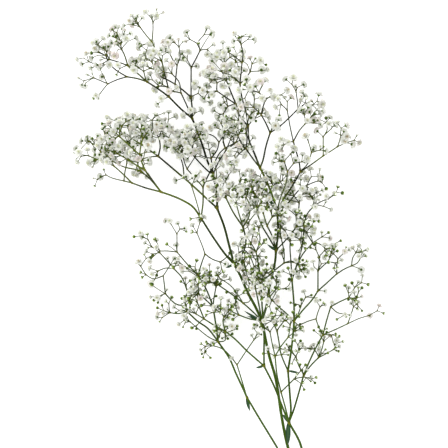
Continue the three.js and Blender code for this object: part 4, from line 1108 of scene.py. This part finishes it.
def open_socket(sockets, name):
    """The socket of that name that the node's settings leave in use."""
    for socket in sockets:
        if socket.enabled and name in (socket.name, ""):
            return socket
    raise KeyError(f"no open socket named {name!r}")


class Shade:
    """A socket of a finish's nodes, which Python's arithmetic extends with the nodes that work it out."""

    def __init__(self, finish, socket):
        self.finish = finish
        self.socket = socket

    def worked(self, sign, other, swapped=False):
        """The node for `self sign other`: Math on values, Vector Math on vectors, Mix on colours."""
        first, second = (other, self) if swapped else (self, other)
        kinds = {side.socket.type for side in (first, second) if isinstance(side, Shade)}
        operation = MATHS[sign]
        if "RGBA" in kinds:
            first, second = (side if isinstance(side, Shade) else (side, side, side, 1)
                             for side in (first, second))
            settings = {"data_type": "RGBA", "blend_type": operation}
            return self.finish.node("ShaderNodeMix", settings, {"Factor": 1, "A": first, "B": second})
        if "VECTOR" in kinds:
            first, second = (side if isinstance(side, Shade) else (side, side, side)
                             for side in (first, second))
            return self.finish.node("ShaderNodeVectorMath", {"operation": operation}, {0: first, 1: second})
        return self.finish.node("ShaderNodeMath", {"operation": operation}, {0: first, 1: second})

    def __add__(self, other):
        return self.worked("+", other)

    def __radd__(self, other):
        return self.worked("+", other, swapped=True)

    def __sub__(self, other):
        return self.worked("-", other)

    def __rsub__(self, other):
        return self.worked("-", other, swapped=True)

    def __mul__(self, other):
        return self.worked("*", other)

    def __rmul__(self, other):
        return self.worked("*", other, swapped=True)

    def ramp(self, low, high):
        """From 0 at `low` to 1 at `high`, with soft ends."""
        return self.finish.node("ShaderNodeMapRange", {"interpolation_type": "SMOOTHSTEP"},
                                {"Value": self, "From Min": low, "From Max": high})

    def between(self, first, second):
        """The colour that is `first` where this value is 0 and `second` where it is 1."""
        return self.finish.node("ShaderNodeMix", {"data_type": "RGBA"},
                                {"Factor": self, "A": first, "B": second})


class Finish:
    """A material as it is made: its nodes, and the shader that shows them."""

    def __init__(self, name, roughness):
        self.material = bpy.data.materials.new(name)
        self.material.use_nodes = True
        self.tree = self.material.node_tree
        self.shader = self.tree.nodes["Principled BSDF"]
        self.shader.inputs["Roughness"].default_value = roughness

    def feed(self, socket, value):
        """Links a shade to a socket, or sets the socket to a plain value."""
        if isinstance(value, Shade):
            self.tree.links.new(value.socket, socket)
        elif socket.type == "RGBA":
            socket.default_value = (*value[:3], 1)
        else:
            socket.default_value = value

    def node(self, kind, settings, inputs, output=""):
        """A node of a type, with its settings set first, then the values or links of its sockets."""
        made = self.tree.nodes.new(kind)
        for name, value in settings.items():
            setattr(made, name, value)
        for name, value in inputs.items():
            socket = made.inputs[name] if isinstance(name, int) else open_socket(made.inputs, name)
            self.feed(socket, value)
        return Shade(self, open_socket(made.outputs, output))

    def mark(self, name):
        """A number that the piece's points carry."""
        return self.node("ShaderNodeAttribute", {"attribute_name": name}, {}, "Fac")

    def place(self):
        """Where each point is on the piece, in metres."""
        return self.node("ShaderNodeTexCoord", {}, {}, "Object")

    def noise(self, scale, detail=3.0, at=None):
        """Noise from 0 to 1, of `scale` spots a metre, or over each 1 that `at` goes through."""
        return self.node("ShaderNodeTexNoise", {}, {"Vector": at or self.place(), "Scale": scale,
                                                    "Detail": detail}, "Fac")

    def colour(self, shade):
        self.feed(self.shader.inputs["Base Color"], shade)

    def rough(self, shade):
        self.feed(self.shader.inputs["Roughness"], shade)

    def shine(self, level):
        self.shader.inputs["Specular IOR Level"].default_value = level

    def bump(self, height, depth):
        """Raises the surface by `height`, at most `depth` metres."""
        bumped = self.node("ShaderNodeBump", {}, {"Height": height, "Distance": depth, "Strength": 1.0},
                           "Normal")
        self.feed(self.shader.inputs["Normal"], bumped)


# Grain, patches and the petals' veins are so many to the metre, and reliefs are metres high.
STALK_GRAIN = 420.0
STALK_PATCHES = 24.0  # paler and darker lengths of the stalks
FRESH_PATCHES = 30.0  # paler and darker patches among the fresh stalks
STALK_RELIEF = 0.0001
STREAKS = 3.5  # fine ribs that run along a stalk, to its radius
STREAK_LENGTH = 0.05  # how slowly they change along it
PETAL_VEINS = 5200.0
PETAL_RELIEF = 0.00004
BUD_GRAIN = 1500.0
BUD_RELIEF = 0.00006
LEAF_GRAIN = 600.0
LEAF_RELIEF = 0.00008
LEAF_VEINS = 34.0  # radians of their wave, from a blade's edge to its midrib
FLOOR_PATCHES = 6.0
FLOOR_SHADE = (0.9, 0.9, 0.9)


def stalk_finish(look):
    """Green at the stem's foot and dark olive above, paler on the finest stalks, yellower at the forks."""
    finish = Finish("stalk_skin", 0.5)
    finish.shine(0.12)
    mottle = finish.noise(STALK_GRAIN, 4.0)
    around = finish.node("ShaderNodeCombineXYZ", {}, {"X": finish.mark("round_x"),
                                                      "Y": finish.mark("round_y"),
                                                      "Z": finish.mark("run") * STREAK_LENGTH})
    streak = finish.noise(STREAKS, 2.0, around).ramp(0.3, 0.7)
    fresh = finish.mark("fresh") * (0.55 + finish.noise(FRESH_PATCHES, 1.0) * 0.7)
    high = fresh.ramp(0.1, 0.9).between(look.high_colour, look.fresh_colour)
    body = finish.mark("aloft").between(look.low_colour, high)
    body = (1 - finish.mark("thick").ramp(0.0, 0.45)).between(body, look.pedicel_colour)
    body = (finish.mark("joint") * look.joint_share).between(body, look.joint_colour)
    body = body * (0.62 + mottle * 0.44 + streak * 0.32) * (0.55 + finish.noise(STALK_PATCHES, 1.0) * 0.9)
    finish.colour(finish.mark("pith").between(body, look.pith_colour))
    finish.rough(0.4 + streak * 0.2)
    finish.bump(streak + mottle, STALK_RELIEF)
    return finish.material


def petal_finish(look):
    """White with a greyer rim, which is painted shade along the petals' tips and sides, and a greener heart,
    which is tan in some blooms; a few are faintly rosy.
    """
    finish = Finish("petal", 0.7)
    finish.shine(0.25)
    along = finish.mark("along")
    heart = finish.mark("heart")
    tint = finish.mark("tint")
    veins = finish.noise(PETAL_VEINS, 1.0)
    throat = (1 - along.ramp(0.05, 0.5)) * (0.35 + heart * 0.65)
    middle = heart.ramp(0.7, 1.0) * look.heart_share
    centre = tint.ramp(0.0, 0.3).between(look.aged_colour, look.heart_colour)
    body = tint.ramp(0.8, 1.0).between(look.petal_colour, look.blush_colour)
    # painted shade: greyer towards each petal's tip, and more so at its sides, where the petals meet
    rim_shade = along.ramp(0.72, 1.0) * (0.35 + finish.mark("aside") * 0.4)
    body = rim_shade.between(body, look.rim_shade_colour)
    body = throat.between(body, look.throat_colour)
    body = middle.between(body, centre)
    finish.colour(body * (0.94 + veins * 0.1))
    finish.bump(veins, PETAL_RELIEF)
    return finish.material


def bud_finish(look):
    """Green sepals with pale margins, and the white of the petals where it shows at the tip."""
    finish = Finish("bud_green", 0.5)
    finish.shine(0.25)
    rise = finish.mark("rise")
    ridge = finish.mark("ridge")
    mottle = finish.noise(BUD_GRAIN)
    green = rise.ramp(0.0, 0.6).between(look.base_colour, look.sepal_colour)
    margin = (1 - ridge).ramp(0.55, 1.0) * rise.ramp(0.25, 0.55) * 0.55
    body = margin.between(green, look.margin_colour)
    white = (rise - ridge * 0.16 + finish.mark("ripe") * 0.22).ramp(0.48, 0.64)
    body = white.between(body, look.tip_colour)
    finish.colour(body * (0.82 + mottle * 0.36))
    finish.rough(0.42 + mottle * 0.2)
    finish.bump(ridge * 0.5 + mottle, BUD_RELIEF)
    return finish.material


def leaf_finish(look):
    """Dark green with a pale midrib, fine veins along the blade, a paler back and a drying tip."""
    finish = Finish("leaf_skin", 0.48)
    finish.shine(0.3)
    rib = finish.mark("rib")
    mottle = finish.noise(LEAF_GRAIN, 4.0)
    veins = finish.node("ShaderNodeMath", {"operation": "SINE"}, {0: rib * LEAF_VEINS}) * 0.5 + 0.5
    body = finish.mark("under").between(look.face_colour, look.back_colour)
    body = rib.ramp(0.9, 1.0).between(body, look.rib_colour)
    body = (finish.mark("along").ramp(0.82, 1.0) * 0.5).between(body, look.tip_colour)
    finish.colour(body * (0.78 + mottle * 0.36 + veins * 0.1))
    finish.rough(0.4 + mottle * 0.22)
    finish.bump(veins + mottle * 0.6, LEAF_RELIEF)
    return finish.material


def floor_finish(look):
    """Almost white, and glowing a little, so that the plant's shadow on it is faint."""
    finish = Finish("pale_floor", 0.9)
    finish.shine(0)
    finish.shader.inputs["Emission Color"].default_value = (1, 1, 1, 1)
    finish.shader.inputs["Emission Strength"].default_value = look.floor_glow
    finish.colour(finish.noise(FLOOR_PATCHES).between(look.floor_colour, FLOOR_SHADE))
    return finish.material


# ---- Pieces ----

SHARP_ANGLE = math.radians(62)  # an edge that bends more than this is left sharp
ALOFT = [330, 185]  # plan downs between which the stalks turn from green to dark olive
# Where the upper stalks are yellower: places on the plan, and radii.
FRESH_PLACES = [([108, 150], 46), ([178, 202], 30), ([146, 56], 24), ([256, 196], 34), ([330, 140], 30)]
FRESH_EDGE = 20  # over which they darken


class Piece:
    """A visible piece as its forms are gathered."""

    def __init__(self, name):
        self.name = name
        self.forms = []

    def add(self, form, **marks):
        self.forms.append(marked(form, **marks))

    def add_stalk(self, knuckle, look, sides, step, bract_scale):
        """Adds the stalk to a knuckle, and the bracts there."""
        for form in [stalk_form(knuckle, look, sides, step), *bract_forms(knuckle, look, bract_scale)]:
            self.add(form, **stalk_marks(form))

    def set(self, finish, slot, replaced):
        """Makes the piece's mesh, and puts it on the plant's body in place of the solids it stands for."""
        whole = joined(self.forms)
        mesh = bpy.data.meshes.new(self.name)
        mesh.from_pydata((whole.points * MM).tolist(), [], whole.quads.tolist() + whole.tris.tolist())
        for mark, values in whole.marks.items():
            mesh.attributes.new(mark, "FLOAT", "POINT").data.foreach_set("value", values.astype(np.float32))
        mesh.polygons.foreach_set("use_smooth", [True] * len(mesh.polygons))
        mesh.set_sharp_from_angle(angle=SHARP_ANGLE)
        mesh.materials.append(finish)
        mesh.update()
        piece = bpy.data.objects.new(self.name, mesh)
        bpy.context.scene.collection.objects.link(piece)
        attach(piece, "root")
        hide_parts(*replaced)


def spray_groups():
    """For each knuckle of the main stem that carries sprays: its name and those sprays' names."""
    groups = {}
    for name, (source, _) in SPRAYS.items():
        groups.setdefault(source, []).append(name)
    return groups


def spray_knuckles(kind, finish, slot):
    """Each knuckle of the sprays, with its group's piece of this kind, which is made once they are done."""
    for group, sprays in spray_groups().items():
        piece = Piece(f"{kind}_{group}")
        for spray in sprays:
            for knuckle in plant().sprays[spray].beyond():
                yield piece, knuckle
        piece.set(finish, slot, ["spray_" + spray for spray in sprays])


def stalk_marks(form):
    """How far up the plant each point of a form is, and how fresh its sprays are."""
    x, downs = form.points[:, 0] + ORIGIN[0], ORIGIN[1] - form.points[:, 1]
    fresh = [np.clip((radius - np.hypot(x - right, downs - down)) / FRESH_EDGE + 0.5, 0, 1)
             for (right, down), radius in FRESH_PLACES]
    return {"aloft": np.interp(downs, ALOFT[::-1], [1, 0]), "fresh": np.max(fresh, axis=0)}


# ---- Looks that a user may change ----


def tone(red, green, blue):
    """A screen colour, 0 to 255, as the linear numbers that shaders use."""
    return tuple(((c / 255 + 0.055) / 1.055) ** 2.4 for c in (red, green, blue))


def colour(name, description, red, green, blue):
    return FloatVectorProperty(name=name, description=description, subtype="COLOR", size=3,
                               default=tone(red, green, blue), min=0, max=1)


def size(name, description, millimetres):
    return FloatProperty(name=name, description=description, unit="LENGTH", precision=5,
                         default=millimetres * MM, min=0)


def share(name, description, default):
    return FloatProperty(name=name, description=description, subtype="FACTOR", default=default,
                         min=0, max=1)


class StalkLook(bpy.types.PropertyGroup):
    pedicel_radius: size("Pedicel radius", "Radius of a stalk that carries one head", 0.42)
    cut_radius: size("Cut radius", "Radius of the stem at its cut end", 1.6)
    knuckle_swell: FloatProperty(name="Knuckle swell", description="A knuckle's radius over its stalk's",
                                 default=1.5, min=1, max=2)
    bract_length: size("Bract length", "Length of the scales at the finer forks", 1.3)
    woody_doublings: FloatProperty(name="Woody doublings", default=8, min=1,
                                   description="Doublings of the heads carried that make a woody stalk")
    low_colour: colour("Low colour", "The stem near its foot", 62, 90, 6)
    high_colour: colour("High colour", "Stalks at the top of the plant", 26, 34, 4)
    fresh_colour: colour("Fresh colour", "The younger stalks there", 86, 102, 16)
    pedicel_colour: colour("Pedicel colour", "The finest stalks", 60, 76, 8)
    joint_colour: colour("Joint colour", "Knuckles and bracts", 122, 118, 26)
    joint_share: share("Joint share", "How much of the joint colour a knuckle takes", 0.75)
    pith_colour: colour("Pith colour", "The pith that the cut end shows", 206, 212, 160)


class BloomLook(bpy.types.PropertyGroup):
    petal_colour: colour("Petal colour", "Petals", 250, 251, 245)
    blush_colour: colour("Blush colour", "Petals of the blooms that are ageing", 246, 238, 234)
    # painted shade: the grey of the shade along the petals' tips and sides
    rim_shade_colour: colour("Rim colour", "The petals' thin outer edges", 208, 211, 204)
    throat_colour: colour("Throat colour", "The petals' feet", 194, 198, 150)
    heart_colour: colour("Heart colour", "The smallest petals, in the middle", 222, 226, 184)
    aged_colour: colour("Aged heart colour", "The middle of the blooms that opened first", 196, 176, 120)
    heart_share: share("Heart share", "How much of the heart colour the middle takes", 0.65)


class BudLook(bpy.types.PropertyGroup):
    base_colour: colour("Base colour", "The foot of a bud or cup", 52, 82, 12)
    sepal_colour: colour("Sepal colour", "The ribs of the sepals", 112, 138, 34)
    margin_colour: colour("Margin colour", "The thin margins between the sepals", 172, 188, 98)
    tip_colour: colour("Tip colour", "The rolled petals at a bud's tip", 238, 241, 228)
    late_share: share("Late share", "How much less white the lowest buds show", 0.7)


class LeafLook(bpy.types.PropertyGroup):
    twist: FloatProperty(name="Twist", description="How far a blade turns from its foot to its tip",
                         subtype="ANGLE", default=math.radians(38))
    face_colour: colour("Face colour", "The upper side", 36, 76, 44)
    back_colour: colour("Back colour", "The under side", 82, 116, 70)
    rib_colour: colour("Rib colour", "The midrib", 122, 150, 88)
    tip_colour: colour("Tip colour", "The drying tip", 104, 112, 60)


class StageLook(bpy.types.PropertyGroup):
    lens: size("Lens", "Focal length: a long lens sees the plant flat", 800)
    view_width: size("View width", "Width of the view at the plant's middle height", 448)
    floor_width: size("Floor width", "Width of the square floor", 24000)
    floor_colour: colour("Floor colour", "The floor", 250, 250, 249)
    floor_glow: FloatProperty(name="Floor glow", description="Light that the floor gives off of itself",
                              default=0.4, min=0)
    sky: FloatProperty(name="Sky", description="Strength of the even light from all round", default=0.88,
                       min=0)
    key_power: FloatProperty(name="Key power", description="Power of the large soft light, in watts",
                             default=45, min=0)


# ---- What the operators share ----

LIMB_BRACT = 2.4  # how much longer the main stem's bracts are than the sprays'
BRACT_SPREAD = 0.93  # an arm this close to its stalk's own direction, as a cosine, has no bract
BRACT_BACK = 0.4  # how far behind its knuckle's middle a bract starts, in the knuckle's radii
BRACT_OUT = 0.7  # and how far out to the side
YOUNG_SHARE = [0.6, 0.05]  # of the heads that grow as buds, how many are half open: the top's, the foot's
HEAD_SIZES = {"bloom": [1.2, 1.0], "young": [1.5, 1.5], "bud": [1.1, 1.2]}  # as grown is 1: top, foot
STAGE_STEP = (math.sqrt(5) - 1) / 2  # spreads the half-open ones evenly
FACE_DOWN = [-0.1, 0.8]  # how far a head hangs from the way that it grew
FACE_STEP = math.sqrt(2) - 1  # spreads that evenly too
RESTING_HEIGHT = 0.02  # of a resting bloom's lowest petals
VIEW_CENTRE = [224, 224]  # the plan point under the camera
VIEW_HEIGHT = 55  # the plant's middle height
SENSOR = 36  # the camera's width
KEY_PLACE = (-1.5, 1.3, 2.6)  # metres
KEY_SIZE = 1.6  # and how wide the soft light is there


def bract_forms(knuckle, look, scale):
    """The bracts at a fork, one under each stalk that leaves it to a side."""
    way = knuckle.direction
    radius = radius_of(knuckle, look) * look.knuckle_swell
    for arm in knuckle.arms:
        leaving = unit(arm.route[1] - arm.route[0])
        if np.dot(leaving, way) > BRACT_SPREAD:
            continue
        out = unit(leaving - way * np.dot(leaving, way))
        foot = knuckle.point - way * radius * BRACT_BACK + out * radius * BRACT_OUT
        yield bract_form(foot, way, out, look.bract_length / MM * scale)


def stage_of(knuckle):
    """How far a knuckle's head has opened."""
    if not knuckle.head:
        return None
    if knuckle.head.kind != "bud":
        return "bloom"
    return "young" if knuckle.number * STAGE_STEP % 1 < mix(YOUNG_SHARE, lowness(knuckle.point)) else "bud"


def face_of(knuckle):
    """The way that a head faces, which hangs a little from how it grew, by a share spread evenly over the
    heads.
    """
    head = knuckle.head
    if head.kind == "rest":
        return head.face
    return unit(head.face - UP * mix(FACE_DOWN, knuckle.number * FACE_STEP % 1))


def size_of(knuckle):
    """A head's radius, which is as it grew or larger, by how far it has opened."""
    return knuckle.head.size * mix(HEAD_SIZES[stage_of(knuckle)], lowness(knuckle.point))


def bloom_at(knuckle, form, roll):
    """A bloom on its knuckle. A resting one is pressed flat where it meets the surface."""
    head = knuckle.head
    if head.kind != "rest":
        return placed(form, knuckle.point, face_of(knuckle), size_of(knuckle), roll)
    form = placed(form, knuckle.point, head.face, knuckle.point[2], roll)
    return form._replace(points=np.maximum(form.points, [-np.inf, -np.inf, RESTING_HEIGHT]))


def add_floor(look):
    half = look.floor_width / 2
    corners = [(-half, -half, 0), (half, -half, 0), (half, half, 0), (-half, half, 0)]
    mesh = bpy.data.meshes.new("floor")
    mesh.from_pydata(corners, [], [(0, 1, 2, 3)])
    mesh.materials.append(floor_finish(look))
    floor = bpy.data.objects.new("floor", mesh)
    bpy.context.scene.collection.objects.link(floor)
    floor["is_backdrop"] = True


def add_lights(scene, look):
    scene.world = bpy.data.worlds.new("even_sky")
    scene.world.use_nodes = True
    sky = scene.world.node_tree.nodes["Background"]
    sky.inputs["Color"].default_value = (1, 1, 1, 1)
    sky.inputs["Strength"].default_value = look.sky
    light = bpy.data.lights.new("soft_key", "AREA")
    light.shape = "DISK"
    light.size = KEY_SIZE
    light.energy = look.key_power
    lamp = bpy.data.objects.new("soft_key", light)
    lamp.location = KEY_PLACE
    lamp.rotation_euler = (-Vector(KEY_PLACE)).to_track_quat("-Z", "Y").to_euler()
    lamp.visible_camera = False
    scene.collection.objects.link(lamp)


def add_camera(look):
    lens = look.lens / MM
    distance = look.view_width * lens / SENSOR
    camera = bpy.data.cameras.new("camera")
    camera.lens = lens
    camera.sensor_width = SENSOR
    holder = bpy.data.objects.new("camera", camera)
    x, y, z = on_plan(VIEW_CENTRE, VIEW_HEIGHT) * MM
    holder.location = (x, y, z + distance)
    bpy.context.scene.collection.objects.link(holder)
    return holder


# ---- Operators ----


class GYPSOPHILA_OT_limbs(bpy.types.Operator):
    """Grow the main stem, from its cut end through its forks and limbs"""

    bl_idname = "gypsophila.limbs"
    bl_label = "Main Stem"

    def execute(self, context):
        look = context.scene.gypsophila_stalks
        piece = Piece("stem_limbs")
        for knuckle in plant().knuckles.values():
            if not knuckle.parent:
                continue
            piece.add_stalk(knuckle, look, LIMB_SIDES, LIMB_STEP, LIMB_BRACT)
        piece.set(stalk_finish(look), "stem", ["main_stem"])
        return {"FINISHED"}


class GYPSOPHILA_OT_stalks(bpy.types.Operator):
    """Grow the fine stalks of every spray, with the small bracts at their forks"""

    bl_idname = "gypsophila.stalks"
    bl_label = "Stalks"

    def execute(self, context):
        look = context.scene.gypsophila_stalks
        for piece, knuckle in spray_knuckles("stalks", stalk_finish(look), "stem"):
            piece.add_stalk(knuckle, look, STALK_SIDES if knuckle.heads > 1 else PEDICEL_SIDES, STALK_STEP, 1)
        return {"FINISHED"}


class GYPSOPHILA_OT_blooms(bpy.types.Operator):
    """Open the double blooms, each a spiral of small crimped petals"""

    bl_idname = "gypsophila.blooms"
    bl_label = "Blooms"

    def execute(self, context):
        look = context.scene.gypsophila_blooms
        rng = np.random.default_rng(SEED)
        for piece, knuckle in spray_knuckles("blooms", petal_finish(look), "bloom"):
            roll = rng.uniform(0, 2 * math.pi)
            pick = rng.uniform()
            tint = rng.uniform()
            forms = bloom_forms().get(stage_of(knuckle))
            if forms:
                piece.add(bloom_at(knuckle, forms[int(pick * len(forms))], roll), tint=tint)
        return {"FINISHED"}


class GYPSOPHILA_OT_buds(bpy.types.Operator):
    """Set the closed buds, and the green cups that the open blooms stand in"""

    bl_idname = "gypsophila.buds"
    bl_label = "Buds and Cups"

    def execute(self, context):
        look = context.scene.gypsophila_buds
        rng = np.random.default_rng(SEED)
        for piece, knuckle in spray_knuckles("buds", bud_finish(look), "bloom"):
            roll = rng.uniform(0, 2 * math.pi)
            ripe = rng.uniform() - lowness(knuckle.point) * look.late_share
            if knuckle.head:
                form = bud_form() if stage_of(knuckle) == "bud" else cup_form()
                form = placed(form, knuckle.point, face_of(knuckle), size_of(knuckle), roll)
                piece.add(form, ripe=ripe)
        return {"FINISHED"}


class GYPSOPHILA_OT_leaves(bpy.types.Operator):
    """Grow the narrow leaves at the lower knuckles"""

    bl_idname = "gypsophila.leaves"
    bl_label = "Leaves"

    def execute(self, context):
        look = context.scene.gypsophila_leaves
        finish = leaf_finish(look)
        for number, (name, (source, place, height, width)) in enumerate(LEAVES.items()):
            knuckle = plant().knuckles[source]
            stem_radius = radius_of(knuckle, context.scene.gypsophila_stalks)
            twist = look.twist * (1 if number % 2 else -1)
            piece = Piece(name.replace("leaf_", "blade_"))
            piece.add(leaf_form(knuckle, on_plan(place, height), width, stem_radius, twist))
            piece.set(finish, "leaf", [name])
        return {"FINISHED"}


class GYPSOPHILA_OT_stage(bpy.types.Operator):
    """Lay the pale floor, set the soft lights, and hold the camera straight above the plant"""

    bl_idname = "gypsophila.stage"
    bl_label = "Stage"

    def execute(self, context):
        look = context.scene.gypsophila_stage
        add_floor(look)
        add_lights(context.scene, look)
        context.scene.camera = add_camera(look)
        context.scene.view_settings.view_transform = "Standard"
        return {"FINISHED"}


# ---- The panel, and registering ----


class GYPSOPHILA_PT_panel(bpy.types.Panel):
    """The plant's operators and looks, in the 3D view's sidebar"""

    bl_idname = "GYPSOPHILA_PT_panel"
    bl_label = "Gypsophila Stem"
    bl_space_type = "VIEW_3D"
    bl_region_type = "UI"
    bl_category = "Gypsophila"

    def draw(self, context):
        for operator in OPERATORS:
            self.layout.operator(operator.bl_idname)
        for name, look in LOOKS.items():
            box = self.layout.box()
            for setting in look.__annotations__:
                box.prop(getattr(context.scene, name), setting)


LOOKS = {
    "gypsophila_stalks": StalkLook,
    "gypsophila_blooms": BloomLook,
    "gypsophila_buds": BudLook,
    "gypsophila_leaves": LeafLook,
    "gypsophila_stage": StageLook,
}
OPERATORS = [GYPSOPHILA_OT_limbs, GYPSOPHILA_OT_stalks, GYPSOPHILA_OT_blooms, GYPSOPHILA_OT_buds,
             GYPSOPHILA_OT_leaves, GYPSOPHILA_OT_stage]


def register():
    for part in [*LOOKS.values(), *OPERATORS, GYPSOPHILA_PT_panel]:
        bpy.utils.register_class(part)
    for name, look in LOOKS.items():
        setattr(bpy.types.Scene, name, PointerProperty(type=look))


def unregister():
    for name in LOOKS:
        delattr(bpy.types.Scene, name)
    for part in reversed([*LOOKS.values(), *OPERATORS, GYPSOPHILA_PT_panel]):
        bpy.utils.unregister_class(part)


def main():
    register()
    bpy.ops.gypsophila.limbs()
    bpy.ops.gypsophila.stalks()
    bpy.ops.gypsophila.blooms()
    bpy.ops.gypsophila.buds()
    bpy.ops.gypsophila.leaves()
    bpy.ops.gypsophila.stage()
    boxes = {name: [list(corner) for corner in box]
             for name, box in [("cad", CAD_BOX), ("visual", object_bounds())]}


if __name__ == "__main__":
    main()
